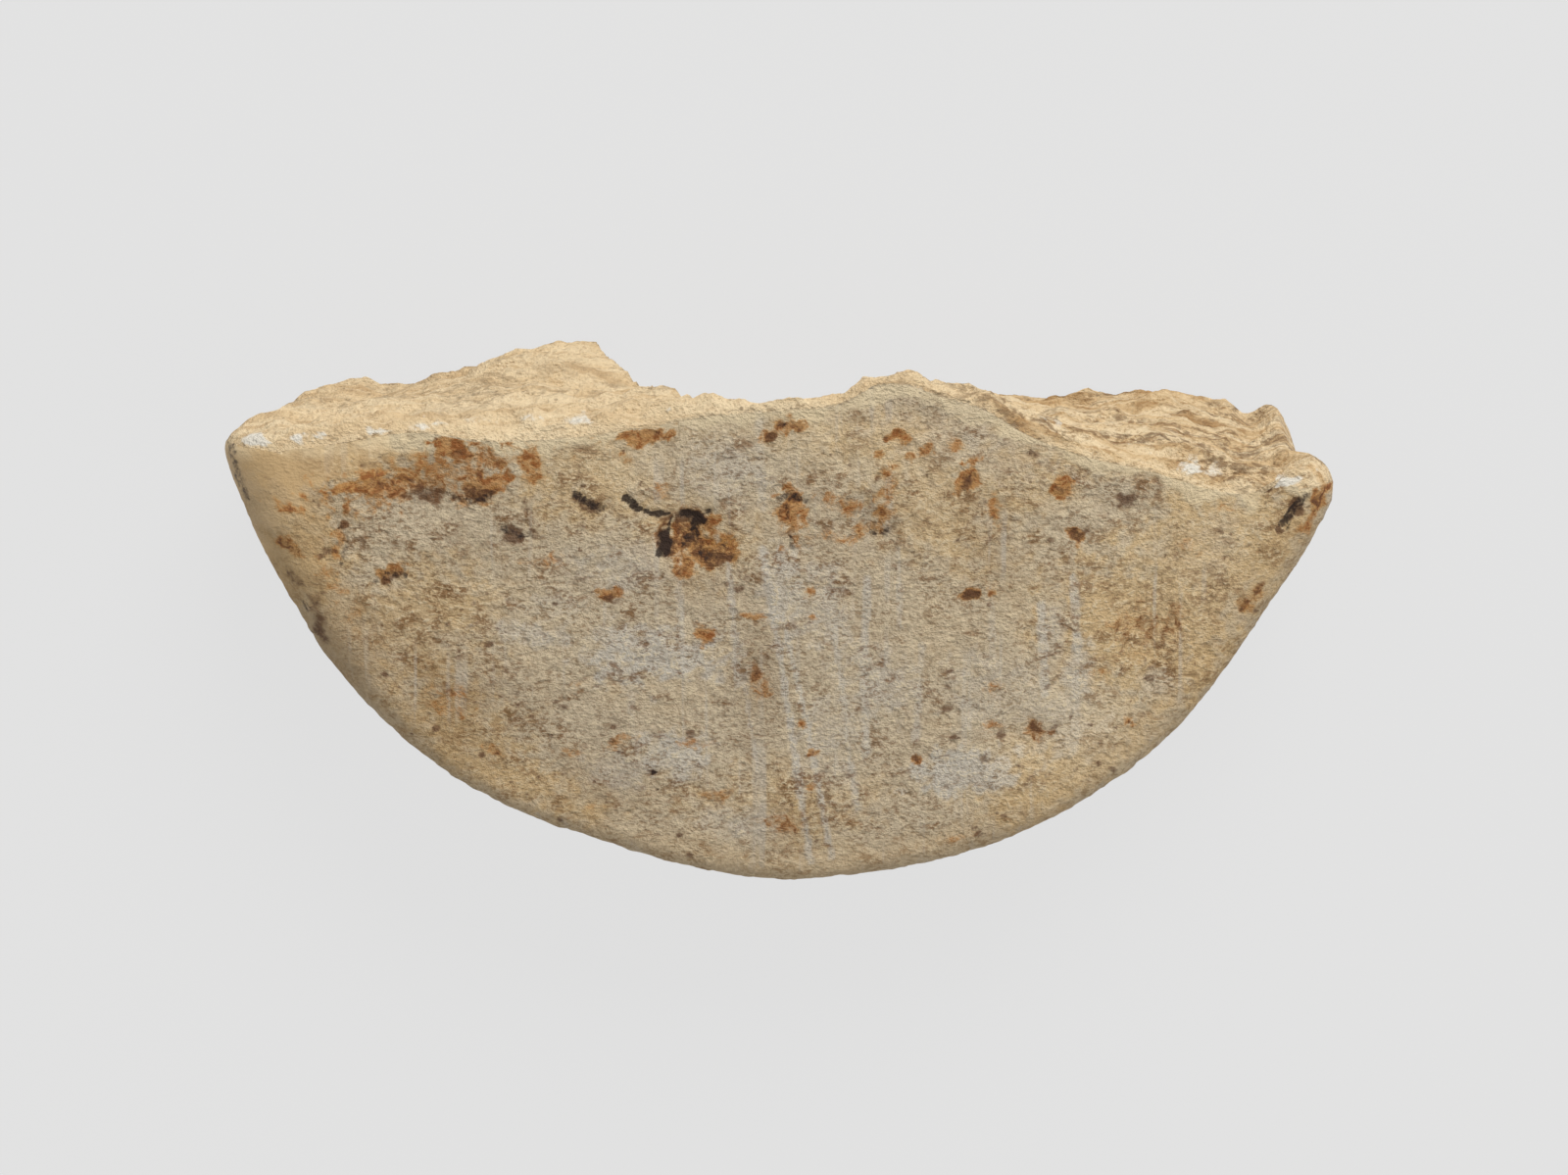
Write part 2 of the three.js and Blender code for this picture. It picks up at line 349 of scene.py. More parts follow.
def along_rim(angle, sizes):
    left, middle, right = sizes
    towards_left = smooth(-angle, RIM_MIDDLE_ENDS, RIM_SIDE_STARTS)
    towards_right = smooth(angle, RIM_MIDDLE_ENDS, RIM_SIDE_STARTS)
    return middle + (left - middle) * towards_left + (right - middle) * towards_right


print("front edge at the left corner:", FRONT_EDGE[0], "mm")

# %% The ground flats: angle and width in degrees, depth in mm
RIM_FLATS = ((-62, 9, 0.16), (-18, 13, 0.5), (8, 8, 0.12), (56, 12, 0.52))


def full_radius(angle):
    radius = np.full(np.shape(angle), DISC_DIAMETER / 2)
    for flat_angle, width, depth in RIM_FLATS:
        radius = radius - depth * np.exp(-((angle - flat_angle) / width) ** 2)
    return radius


print("flats:", len(RIM_FLATS))

# %% The rim's wall, with the chip at its right corner
CHIP_DEPTH = 1.15
CHIP_LENGTH = 11
LIP_THICKNESS = 1.9
LIP_SLOPE = 0.7


def rounded_inset(rounding, height):
    over = np.clip(height, 0, rounding)
    return rounding - np.sqrt(rounding * rounding - over * over)


def corner_angle(drop, radius):
    return np.degrees(np.arccos(np.clip(drop / radius, 0, 1)))


def wall_inset(angle, share):
    """How far the rim's wall lies inside its full radius; share 1 is the front, 0 the back."""
    height = WALL * share
    front_rounding = np.minimum(along_rim(angle, FRONT_EDGE), WALL * EDGE_WALL_SHARE)
    back_rounding = np.minimum(along_rim(angle, BACK_EDGE), WALL * EDGE_WALL_SHARE)
    front = rounded_inset(front_rounding, height - (WALL - front_rounding))
    back = rounded_inset(back_rounding, back_rounding - height)
    leaning = np.maximum(0, 1 - share - UPRIGHT_WALL_SHARE) / (1 - UPRIGHT_WALL_SHARE)
    corner = corner_angle(RIGHT_CORNER_DROP, DISC_DIAMETER / 2)
    along_chip = smooth(angle, corner - CHIP_LENGTH, corner)
    below_lip = smooth(WALL - height, LIP_THICKNESS, LIP_THICKNESS + LIP_SLOPE)
    chip = CHIP_DEPTH * along_chip * below_lip
    return front + back + along_rim(angle, RIM_LEAN) * leaning + chip


def rim_points(angle, share):
    radius = full_radius(angle) - wall_inset(angle, share)
    turn = np.radians(angle)
    return np.stack([radius * np.sin(turn), -radius * np.cos(turn)], axis=-1)


print("inset of the front edge at the middle:", round(float(wall_inset(0.0, 1)), 2), "mm")

# %% Where the rim ends at each level


def level_ends(share):
    ends = []
    for side, drop in ((-1, LEFT_CORNER_DROP), (1, RIGHT_CORNER_DROP)):
        start = side * corner_angle(drop, DISC_DIAMETER / 2)
        radius = full_radius(start) - wall_inset(start, share)
        ends.append(side * corner_angle(drop, radius))
    return ends


print("the rim's ends at the front, in degrees:", np.round(level_ends(1), 1))

# %% [markdown]
# The break shows the beds of the stone from the side. Each bed ends in its own ledge, and small
# chips have fallen from the ledges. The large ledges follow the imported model's, and chips too
# fine for it are added here, so the two outlines agree.

# %% The break's two edges: share of the way across, and height above a straight line in mm
FRONT_BREAK_LINE = [
    (0, 0), (0.008, 0.45), (0.03, 0.7), (0.06, 1.0), (0.125, 1.6), (0.155, 1.6), (0.19, 1.4),
    (0.3, 1.85), (0.37, 2.45), (0.42, 2.95), (0.5, 3.4), (0.55, 3.75), (0.58, 4.55),
    (0.605, 4.7), (0.645, 4.25), (0.69, 3.65), (0.725, 2.75), (0.785, 1.8), (0.855, 1.15),
    (0.91, 0.5), (0.945, 0.35), (0.99, 0.9), (1, 0)]
BACK_BREAK_LINE = [
    (0, 0), (0.01, 0.9), (0.03, 1.4), (0.1, 1.3), (0.16, 2.1), (0.21, 2.95), (0.255, 3.35),
    (0.35, 3.0), (0.5, 2.6), (0.68, 1.95), (0.77, 2.0), (0.86, 2.55), (0.92, 2.1),
    (0.95, 1.45), (0.98, 1.9), (1, 0)]
print("highest point of the front edge:", max(height for _, height in FRONT_BREAK_LINE), "mm")

# %% The ledges of the beds
BEDS = 18
BED_FADE = (0.2, 1)
LEDGE_DEPTH = 0.28
LEDGE_LENGTH = 5.5
LEDGE_SHARPNESS = 0.3
RIPPLE_DEPTH = 0.12
RIPPLE_LENGTH = 1.7
END_FADE = 0.05


def bed_noise(x, bed, length, shift):
    lower = np.floor(bed)
    blend = smooth(bed - lower, LEDGE_SHARPNESS, 1 - LEDGE_SHARPNESS)
    below = line_noise(x / length, lower + shift)
    above = line_noise(x / length, lower + 1 + shift)
    return below * (1 - blend) + above * blend


print("mean thickness of a bed:", round(DISC_THICKNESS / BEDS, 2), "mm")

# %% Finer beds, chips and crumbs
FINE_BED = 0.42
FINE_LEDGE_DEPTH = 0.24
FINE_CHIP_LENGTH = 1.1
FINE_SHIFT = 50
SLANT = 0.6
SLANT_LENGTH = 6
SLANT_HEIGHT = 3
CRUMB_DEPTH = 0.15
CRUMB_LENGTH = 0.5
CRUMB_HEIGHT = 0.32


def ledges(x, share, along):
    bed = np.arccos(np.clip(1 - 2 * share, -1, 1)) / math.pi * BEDS
    fade = smooth(np.minimum(along, 1 - along), 0, END_FADE)
    inside = smooth(np.minimum(bed, BEDS - bed), *BED_FADE)
    main = (LEDGE_DEPTH * bed_noise(x, bed, LEDGE_LENGTH, 0)
            + RIPPLE_DEPTH * bed_noise(x, bed, RIPPLE_LENGTH, BEDS))
    height = share * DISC_THICKNESS
    slanted = height / FINE_BED + SLANT * plane_noise(x / SLANT_LENGTH, height / SLANT_HEIGHT)
    fine = FINE_LEDGE_DEPTH * bed_noise(x, slanted, FINE_CHIP_LENGTH, FINE_SHIFT)
    crumbs = CRUMB_DEPTH * layered_noise(x / CRUMB_LENGTH, height / CRUMB_HEIGHT)
    return fade * inside * (main + fine + crumbs)


print("fine beds through the stone:", round(DISC_THICKNESS / FINE_BED))

# %% [markdown]
# The spindle hole was drilled from the back as a cone, and leaves a thin lip at the front. Where
# the cone reaches past the break, the break takes the cone's wall, with faint rings left by the
# drill. Both edges of the break are worn, the front one more.

# %% The break with its piece of the hole
FRONT_BREAK_WEAR = 0.55
BACK_BREAK_WEAR = 0.35
WEAR_FADE = 0.012
DRILL_RING_DEPTH = 0.05
DRILL_RING_LENGTH = 0.9
DRILL_RINGS = 9


def hole_radius(share):
    cone = HOLE_BACK_DIAMETER + (HOLE_NECK_DIAMETER - HOLE_BACK_DIAMETER) * share
    below_lip = smooth(DISC_THICKNESS * (1 - share), 0, HOLE_LIP_THICKNESS)
    return (HOLE_MOUTH_DIAMETER + (cone - HOLE_MOUTH_DIAMETER) * below_lip) / 2


def break_points(left, right, along, share):
    """The break's outline at one level, and which of its points the drill cut."""
    x = left[0] + (right[0] - left[0]) * along
    front = curve_through(FRONT_BREAK_LINE, along)
    back = curve_through(BACK_BREAK_LINE, along)
    rise = back + (front - back) * share
    y = left[1] + (right[1] - left[1]) * along + rise + ledges(x, share, along)
    radius = hole_radius(share)
    rings = np.full(x.shape, share * DRILL_RINGS)
    wall = -np.sqrt(np.maximum(radius * radius - x * x, 0))
    wall = wall + DRILL_RING_DEPTH * layered_noise(x / DRILL_RING_LENGTH, rings)
    drilled = (np.abs(x) < radius) & (wall < y)
    y = np.where(drilled, wall, y)
    depth = DISC_THICKNESS * (1 - share)
    wear = (rounded_inset(FRONT_BREAK_WEAR, FRONT_BREAK_WEAR - depth)
            + rounded_inset(BACK_BREAK_WEAR, BACK_BREAK_WEAR - DISC_THICKNESS * share))
    y = y - smooth(np.minimum(along, 1 - along), 0, WEAR_FADE) * wear
    return np.stack([x, y], axis=-1), drilled


print("the hole's radius halfway through:", round(float(hole_radius(0.5)), 2), "mm")

# %% [markdown]
# The two corners between rim and break have been handled for a long time, so they are worn
# round. A Bevel modifier would need one clean edge. Here each point near a corner moves halfway
# towards its two neighbours, again and again, which wears the corner as use does.

# %% The worn corners
CORNER_REACH = 9
CORNER_ROUNDS = 16


def rounded_corners(rim, broken):
    for rim_part, break_part in (
            (slice(None, CORNER_REACH), slice(1, CORNER_REACH)),
            (slice(-1, -1 - CORNER_REACH, -1), slice(-2, -1 - CORNER_REACH, -1))):
        chain = np.concatenate([rim[rim_part][::-1], broken[break_part]])
        for _ in range(CORNER_ROUNDS):
            chain[1:-1] = chain[1:-1] / 2 + (chain[:-2] + chain[2:]) / 4
        rim[rim_part] = chain[:CORNER_REACH][::-1]
        broken[break_part] = chain[CORNER_REACH:]
    broken[0] = rim[0]
    broken[-1] = rim[-1]


print("points worn at each corner:", 2 * CORNER_REACH - 1)

# %% [markdown]
# Stains and soft spots sit where the photograph shows them. Each is an oval patch or a thin
# vein, named by the colour that it leaves, and its ragged outline comes from noise. Their
# places are given in the photograph's own 1600 by 1199 frame, and two named values turn a
# place on the stone into that frame. Painting them by hand on an image would tie the part to
# a picture file, and a list can be read and changed.

# %% From the stone to the photograph's frame
PICTURE_AXIS = (800.1, 327.0)
PICTURE_SCALE = 0.04255
PICTURE_FALL = PICTURE_SCALE / math.cos(CAMERA_TILT)


def to_picture(points):
    across = PICTURE_AXIS[0] + points[:, 0] / PICTURE_SCALE
    down = PICTURE_AXIS[1] - points[:, 1] / PICTURE_FALL
    return across, down


print("one pixel is", PICTURE_SCALE, "mm on the face")

# %% Rust patches: middle across and down, half width, half height, turn in degrees, strength
RUST = [
    (462, 456, 20, 16, 0, 0.9), (500, 492, 34, 14, -25, 0.85), (540, 475, 14, 18, 0, 0.7),
    (372, 498, 42, 10, -12, 0.85), (430, 490, 115, 24, -12, 0.55), (340, 600, 50, 12, 60, 0.35),
    (656, 446, 27, 13, -6, 1.0), (594, 442, 16, 7, 0, 0.4), (720, 565, 27, 15, -8, 1.0),
    (690, 543, 7, 11, 0, 1.0), (702, 550, 26, 26, 0, 0.75), (694, 584, 9, 7, 0, 0.8),
    (727, 531, 7, 8, 0, 0.8), (740, 562, 14, 12, 0, 0.7),
    (675, 500, 12, 9, 0, 0.5), (806, 436, 14, 8, 0, 0.9), (780, 446, 8, 6, 0, 0.6),
    (916, 445, 12, 9, 20, 0.85), (893, 463, 9, 4, 0, 0.7), (927, 468, 6, 5, 0, 0.7),
    (946, 462, 9, 8, 0, 0.6), (985, 488, 11, 18, 20, 0.9), (972, 455, 8, 12, 0, 0.6),
    (806, 528, 15, 26, 4, 0.8), (872, 518, 9, 5, 0, 0.6), (900, 522, 10, 20, 10, 0.65),
    (862, 552, 14, 7, 0, 0.6), (1012, 520, 10, 18, -20, 0.6), (1081, 499, 11, 12, 0, 0.9),
    (1096, 547, 10, 10, 0, 0.9), (990, 607, 15, 7, 0, 1.0), (714, 648, 11, 10, 20, 0.75),
    (765, 630, 15, 4, 0, 0.7), (826, 605, 6, 7, 0, 0.7), (827, 631, 5, 4, 0, 0.7),
    (398, 586, 18, 8, -20, 0.7), (346, 552, 8, 20, 15, 0.6), (292, 560, 18, 9, 30, 0.7),
    (618, 608, 14, 8, 0, 0.75), (290, 522, 12, 8, 30, 0.6), (565, 575, 14, 8, 0, 0.35),
    (540, 575, 12, 7, 0, 0.4), (640, 468, 8, 10, 0, 0.4), (775, 700, 12, 20, 0, 0.5),
    (1350, 505, 10, 30, 25, 0.8), (1335, 540, 7, 26, 30, 0.6), (1155, 640, 32, 24, 0, 0.36),
    (1192, 640, 20, 20, 0, 0.34), (1165, 672, 24, 10, 0, 0.36), (1348, 492, 14, 9, 30, 0.6),
    (860, 515, 26, 12, 20, 0.45), (905, 500, 12, 22, 10, 0.5), (890, 538, 26, 8, -20, 0.5),
    (830, 548, 30, 8, 0, 0.35), (1276, 615, 20, 10, -40, 0.5), (1055, 750, 17, 12, 0, 0.6),
    (1152, 740, 8, 5, 0, 0.8), (1012, 744, 14, 5, 0, 0.5), (935, 778, 6, 4, 0, 0.8),
    (819, 740, 6, 6, 0, 0.8), (828, 772, 5, 5, 0, 0.85), (825, 806, 6, 5, 0, 0.6),
    (708, 762, 18, 6, 0, 0.45), (626, 760, 20, 7, -20, 0.5), (580, 770, 16, 5, 0, 0.4),
    (455, 718, 26, 16, 20, 0.4), (500, 770, 14, 7, 20, 0.4), (730, 815, 16, 9, 0, 0.45),
    (800, 845, 22, 10, 0, 0.45), (980, 860, 18, 5, -12, 0.4), (590, 700, 10, 4, 0, 0.4),
    (1015, 705, 12, 10, 0, 0.4), (1120, 690, 14, 7, 0, 0.4), (600, 830, 12, 4, 0, 0.4),
    (1250, 520, 12, 6, 0, 0.4), (1170, 490, 14, 5, 0, 0.35), (1210, 560, 20, 9, 0, 0.35)]
print("rust patches:", len(RUST))

# %% Brown patches
BROWN = [
    (432, 506, 24, 11, 0, 0.8), (485, 505, 20, 8, 0, 0.7), (524, 546, 16, 8, 0, 0.9),
    (600, 516, 17, 7, 20, 0.85), (536, 520, 6, 10, 0, 0.7), (350, 540, 6, 10, 0, 0.7),
    (700, 530, 20, 8, 0, 0.95), (679, 554, 8, 16, 0, 0.9), (700, 556, 6, 14, 25, 0.8),
    (700, 545, 22, 20, 0, 0.55), (730, 572, 15, 9, 0, 0.7),
    (800, 434, 6, 5, 0, 0.8), (786, 446, 5, 4, 0, 0.8), (805, 508, 10, 5, 0, 0.6),
    (806, 545, 5, 9, 0, 0.5), (990, 608, 13, 6, 0, 0.9), (984, 496, 6, 12, 20, 0.75),
    (1096, 550, 7, 7, 0, 0.7), (398, 592, 12, 5, -20, 0.75),
    (292, 562, 14, 6, 30, 0.6), (620, 612, 8, 6, 0, 0.7), (1325, 519, 12, 9, 0, 0.95),
    (1304, 545, 4, 5, 0, 0.8), (1316, 532, 4, 4, 0, 0.8), (318, 640, 8, 26, -20, 0.7),
    (1056, 748, 10, 7, 0, 0.7), (1152, 741, 5, 3, 0, 0.7), (665, 792, 4, 3, 0, 1.0),
    (668, 811, 4, 3, 0, 1.0), (1165, 640, 16, 7, 0, 0.35), (935, 777, 4, 3, 0, 0.8),
    (828, 772, 3, 3, 0, 0.8), (454, 708, 8, 5, 0, 0.5), (430, 738, 5, 3, 0, 0.5),
    (476, 740, 5, 3, 0, 0.5), (612, 765, 8, 4, 0, 0.5), (956, 575, 5, 3, 0, 0.5),
    (1262, 640, 8, 4, -40, 0.5), (602, 606, 5, 3, 0, 0.6), (945, 438, 4, 3, 0, 0.5),
    (1148, 511, 14, 11, 0, 0.8), (1096, 548, 10, 9, 0, 0.6), (1172, 650, 44, 34, 0, 0.42),
    (1060, 745, 30, 16, 0, 0.45), (590, 596, 12, 8, 0, 0.5), (775, 690, 16, 26, 0, 0.42),
    (300, 600, 8, 18, -30, 0.5), (318, 625, 9, 26, -25, 0.6), (800, 840, 26, 14, 0, 0.4),
    (612, 762, 22, 9, -20, 0.42), (900, 540, 22, 6, -25, 0.45), (1275, 612, 24, 8, -40, 0.5),
    (752, 590, 22, 12, 0, 0.4), (1020, 535, 10, 16, 0, 0.4), (400, 590, 14, 6, -20, 0.5),
    (500, 480, 30, 12, -20, 0.4), (432, 512, 26, 10, -10, 0.5), (1000, 860, 30, 6, -12, 0.3)]
print("brown patches:", len(BROWN))

# %% Black patches
BLACK = [
    (700, 527, 15, 5, 0, 0.95), (709, 533, 9, 9, 0, 0.9), (722, 523, 6, 4, 0, 0.8),
    (678, 555, 6, 14, 6, 0.95), (698, 553, 4, 12, 25, 0.6), (800, 433, 4, 4, 0, 0.6),
    (1325, 517, 6, 5, 0, 0.6), (310, 630, 6, 22, -25, 0.55), (666, 792, 3, 3, 0, 1.0),
    (668, 811, 3, 3, 0, 1.0), (1148, 511, 7, 5, 0, 0.45), (985, 492, 3, 7, 20, 0.4),
    (718, 566, 14, 7, 0, 0.6), (708, 545, 9, 9, 0, 0.65), (738, 556, 6, 5, 0, 0.55),
    (528, 548, 7, 4, 0, 0.5), (432, 508, 12, 5, 0, 0.4), (486, 508, 6, 4, 0, 0.4)]
print("black patches:", len(BLACK))

# %% Chalky grey patches
CHALK = [
    (1080, 740, 60, 40, 0, 0.6), (1020, 710, 60, 50, 0, 0.45), (1000, 450, 150, 40, 12, 0.4),
    (670, 672, 75, 30, 0, 0.8), (690, 775, 40, 25, 0, 0.7), (985, 788, 55, 22, -10, 1.0),
    (1100, 700, 16, 45, 8, 0.75), (795, 600, 24, 50, 0, 0.6), (540, 650, 50, 16, 10, 0.6),
    (1010, 800, 30, 14, 0, 0.9), (740, 480, 50, 40, 0, 0.45), (840, 620, 26, 60, 0, 0.5),
    (620, 790, 40, 22, 0, 0.5), (900, 700, 40, 40, 0, 0.5), (760, 845, 50, 20, 0, 0.5),
    (1075, 640, 14, 50, 0, 0.5), (1240, 560, 40, 30, -30, 0.35), (850, 760, 40, 60, 0, 0.45),
    (560, 620, 60, 20, 0, 0.4), (1180, 700, 22, 18, 0, 0.5), (640, 580, 60, 30, 0, 0.45)]
print("chalky patches:", len(CHALK))

# %% Tan patches, of which the first is also polished
TAN = [
    (330, 470, 85, 30, -4, 0.9), (300, 580, 45, 50, 40, 0.55), (440, 640, 70, 70, 30, 0.35),
    (1170, 645, 95, 70, 0, 0.75), (1230, 560, 70, 70, 0, 0.5), (600, 480, 80, 50, 0, 0.35),
    (960, 520, 90, 60, 0, 0.35), (470, 740, 80, 40, 30, 0.5), (800, 820, 90, 40, 0, 0.35),
    (1080, 780, 90, 50, -25, 0.45), (1060, 470, 90, 30, 10, 0.4), (700, 540, 60, 50, 0, 0.3),
    (540, 800, 70, 26, 22, 0.5), (1290, 540, 50, 50, 0, 0.6), (900, 440, 120, 30, 0, 0.35)]
POLISHED_PATCH = TAN[:1]
print("tan patches:", len(TAN))

# %% White chips along the edge of the break
WHITE = [
    (258, 452, 15, 7, -6, 1.0), (304, 450, 14, 5, 0, 0.9), (326, 447, 10, 4, 0, 0.7),
    (390, 442, 18, 4, 0, 0.8), (590, 431, 14, 4, 0, 0.7),
    (670, 420, 16, 4, 0, 0.6), (1064, 424, 28, 10, 30, 0.6), (1236, 484, 12, 4, 12, 0.7),
    (1312, 494, 14, 6, 0, 0.9), (500, 433, 40, 4, 0, 0.45), (1345, 482, 14, 5, 20, 0.6),
    (1075, 420, 20, 9, 30, 0.8), (430, 437, 26, 4, -8, 0.7), (545, 430, 22, 3, 0, 0.6),
    (1208, 479, 20, 5, 10, 0.8), (1166, 462, 18, 4, 20, 0.5), (440, 424, 30, 4, 0, 0.5)]
print("white chips:", len(WHITE))

# %% Broad darker and lighter patches, partly painted shade and light, partly the stone's own tone
# painted shade: the darker patches on the left and at the bottom, where the face turns from the
# lamp; those in the middle are the stone's own tone
SHADE = [
    (290, 495, 60, 40, 0, 1.0), (350, 670, 60, 60, 40, 1.0), (420, 470, 70, 20, 0, 0.5),
    (470, 725, 90, 55, 30, 1.0), (600, 800, 80, 36, 20, 0.6), (290, 580, 40, 60, 30, 0.6),
    (770, 700, 30, 90, 0, 0.7), (880, 540, 60, 30, 0, 0.5), (1010, 560, 30, 70, -15, 0.5),
    (700, 600, 60, 26, 0, 0.4), (800, 850, 60, 30, 0, 0.5), (480, 560, 70, 26, -10, 0.3)]
# painted light: the lighter patches along the top and at the right, towards the lamp; those in the
# middle are the stone's own tone
LIGHT = [
    (890, 455, 110, 34, 6, 1.0), (1090, 745, 90, 60, -20, 1.0), (1190, 590, 110, 70, 0, 0.7),
    (640, 470, 60, 40, 0, 0.6), (1250, 540, 60, 50, 0, 0.5), (700, 440, 120, 14, 0, 0.8),
    (1040, 620, 40, 60, 0, 0.5), (950, 640, 60, 60, 0, 0.35), (560, 640, 60, 40, 0, 0.3)]
print("darker and lighter areas:", len(SHADE), len(LIGHT))

# %% [markdown]
# The darkest marks are thin veins, and the middle of the face has pale upright streaks. One
# dark line, along the left rim's side, is no vein but painted shade, where that side turns away
# from the lamp. All of them are lines through a few places, with a half width and a strength.

# %% Dark veins, the painted shade along the left rim, and pale streaks
VEINS_AND_SHADE = [
    (((638, 509), (648, 519), (662, 524), (680, 526)), 3.2, 0.95),
    (((586, 506), (598, 515), (614, 519)), 5.0, 0.8),
    (((512, 541), (526, 547), (538, 546)), 4.5, 0.6),
    (((455, 506), (470, 514), (492, 512), (500, 505)), 3.5, 0.6),
    (((880, 530), (888, 546), (900, 545), (912, 536)), 3.0, 0.6),
    (((684, 530), (680, 546), (671, 568)), 2.4, 0.8),
    # painted shade: this line darkens the left rim's side, which turns away from the lamp
    (((231, 460), (238, 488), (249, 516)), 6.0, 0.55),
    (((794, 510), (805, 503), (820, 512)), 3.5, 0.6),
    (((802, 505), (803, 530), (807, 560)), 3.5, 0.5),
    (((1334, 507), (1322, 520), (1308, 538)), 4.0, 0.75),
    (((378, 598), (392, 588), (412, 590)), 3.0, 0.6),
    (((340, 532), (352, 548), (346, 580)), 3.0, 0.5)]
STREAKS = [
    (((776, 560), (790, 640), (808, 760), (826, 885)), 3.5, 0.8),
    (((790, 600), (822, 740), (848, 880)), 3.0, 0.7),
    (((850, 640), (862, 740), (874, 830)), 3.0, 0.6),
    (((884, 590), (880, 690), (884, 770)), 4.0, 0.6), (((742, 570), (752, 700)), 4.0, 0.6),
    (((757, 690), (772, 790)), 3.0, 0.6), (((1062, 620), (1066, 710)), 5.0, 0.8),
    (((1094, 590), (1100, 680), (1096, 770)), 5.0, 0.7), (((940, 660), (934, 760)), 4.0, 0.5),
    (((915, 560), (918, 640)), 3.5, 0.5), (((690, 560), (694, 650)), 4.0, 0.5),
    (((810, 560), (816, 620)), 3.0, 0.5), (((640, 700), (650, 800)), 4.0, 0.4),
    (((774, 420), (776, 520)), 5.0, 0.5), (((1010, 600), (1014, 700)), 4.0, 0.4)]
print("veins and streaks:", len(VEINS_AND_SHADE), len(STREAKS))

# %% [markdown]
# Between the marks that can be told apart lie hundreds of small soft spots. Their exact places
# don't matter, so they are scattered with a fixed seed: a few over the whole face and more
# where the photograph shows them crowded. Cubing a random number makes large spots rare.

# %% Scattered specks
SPECK_COUNT = 260
SPECK_SEED = 11
SPECK_WIDER = 1.3
SPECK_STRENGTHS = (0.3, 0.75)
speck_draws = np.random.RandomState(SPECK_SEED)


def scattered_specks(count, low, high, smallest, largest):
    """Small soft spots at random places between two corners of the picture."""
    specks = []
    for _ in range(count):
        middle_x, middle_y = speck_draws.uniform(low, high)
        size = smallest + (largest - smallest) * speck_draws.uniform() ** 3
        strength = speck_draws.uniform(*SPECK_STRENGTHS)
        specks.append((middle_x, middle_y, size * SPECK_WIDER, size, 0, strength))
    return specks


SPECKS = scattered_specks(SPECK_COUNT, (250, 440), (1330, 890), 2.0, 6.0)
SPECKS += scattered_specks(SPECK_COUNT // 4, (380, 640), (640, 830), 2.0, 6.0)
SPECKS += scattered_specks(SPECK_COUNT // 6, (960, 700), (1180, 800), 2.0, 7.0)
print("specks:", len(SPECKS))

# %% [markdown]
# The front face swells a little towards its middle, where the grinding stone took less. Slow
# waves and a few shallow hollows keep it from looking turned.

# %% The height of the front face, with hollows as angle, reach, width and depth
FACE_RELIEF_DEPTH = 0.1
FACE_RELIEF_LENGTH = 4.5
FACE_HOLLOWS = ((-24, 10.4, 4.2, 0.4), (-63, 17.4, 4.6, 0.3), (21, 9.8, 3.8, 0.3),
                (50, 20.4, 5.2, 0.25), (29, 21.2, 4.0, 0.25))


def face_height(points):
    radius = DISC_DIAMETER / 2
    fall = FACE_CROWN * (points ** 2).sum(axis=1) / radius ** 2
    waves = plane_noise(points[:, 0] / FACE_RELIEF_LENGTH, points[:, 1] / FACE_RELIEF_LENGTH)
    height = DISC_THICKNESS - fall - FACE_RELIEF_DEPTH * (1 + waves) / 2
    for angle, reach, width, depth in FACE_HOLLOWS:
        turn = math.radians(angle)
        away = np.hypot(points[:, 0] - reach * math.sin(turn), points[:, 1] + reach * math.cos(turn))
        height = height - depth * (1 - smooth(away, 0, width / 2))
    return height


print("height at the axis:", np.round(face_height(np.zeros((1, 2))), 2), "mm")

# %% [markdown]
# The stack of levels and the nets that close the two faces go into one mesh. Levels lie closer
# together near the faces, where the edges are rounded. Every point has a number, and a shared
# edge uses the same numbers on both its sides, so the mesh is closed without any merging.

# %% The stack of levels
positions = []


def add_points(points, heights):
    start = sum(len(block) for block in positions)
    positions.append(np.column_stack([points, heights]))
    return np.arange(start, start + len(points))


along = np.linspace(0, 1, STEPS_ALONG + 1)
rim_rows = []
break_rows = []
outlines = []
drilled_points = []
for level in range(STEPS_THROUGH + 1):
    share = (1 - math.cos(math.pi * level / STEPS_THROUGH)) / 2
    left_end, right_end = level_ends(share)
    rim = rim_points(left_end + (right_end - left_end) * along, share)
    broken, drilled = break_points(rim[0], rim[-1], along, share)
    rounded_corners(rim, broken)
    rim_numbers = add_points(rim, share * face_height(rim))
    between = add_points(broken[1:-1], share * face_height(broken[1:-1]))
    drilled_points.append(between[drilled[1:-1]])
    rim_rows.append(rim_numbers)
    break_rows.append(np.concatenate([rim_numbers[:1], between, rim_numbers[-1:]]))
    outlines.append((rim, broken))
rim_rows = np.array(rim_rows)
break_rows = np.array(break_rows)
print("levels:", len(outlines))

# %% The nets of the two faces


def face_net(level, steps, share):
    """Rows of points from the rim to the break at one level."""
    rim, broken = outlines[level]
    rows = [rim_rows[level]]
    for row in range(1, steps):
        points = rim + (broken - rim) * (row / steps)
        numbers = add_points(points[1:-1], share * face_height(points[1:-1]))
        rows.append(np.concatenate([rim_rows[level][:1], numbers, rim_rows[level][-1:]]))
    rows.append(break_rows[level])
    return np.array(rows)


front_net = face_net(-1, STEPS_ACROSS, 1)
back_net = face_net(0, STEPS_ACROSS_BACK, 0)
points = np.concatenate(positions)
print("points:", len(points))

# %% Faces of the mesh


def net_faces(lower, upper, turned):
    quads = np.stack([lower[:, :-1], lower[:, 1:], upper[:, 1:], upper[:, :-1]], axis=-1)
    quads = quads.reshape(-1, 4)
    return quads[:, ::-1] if turned else quads


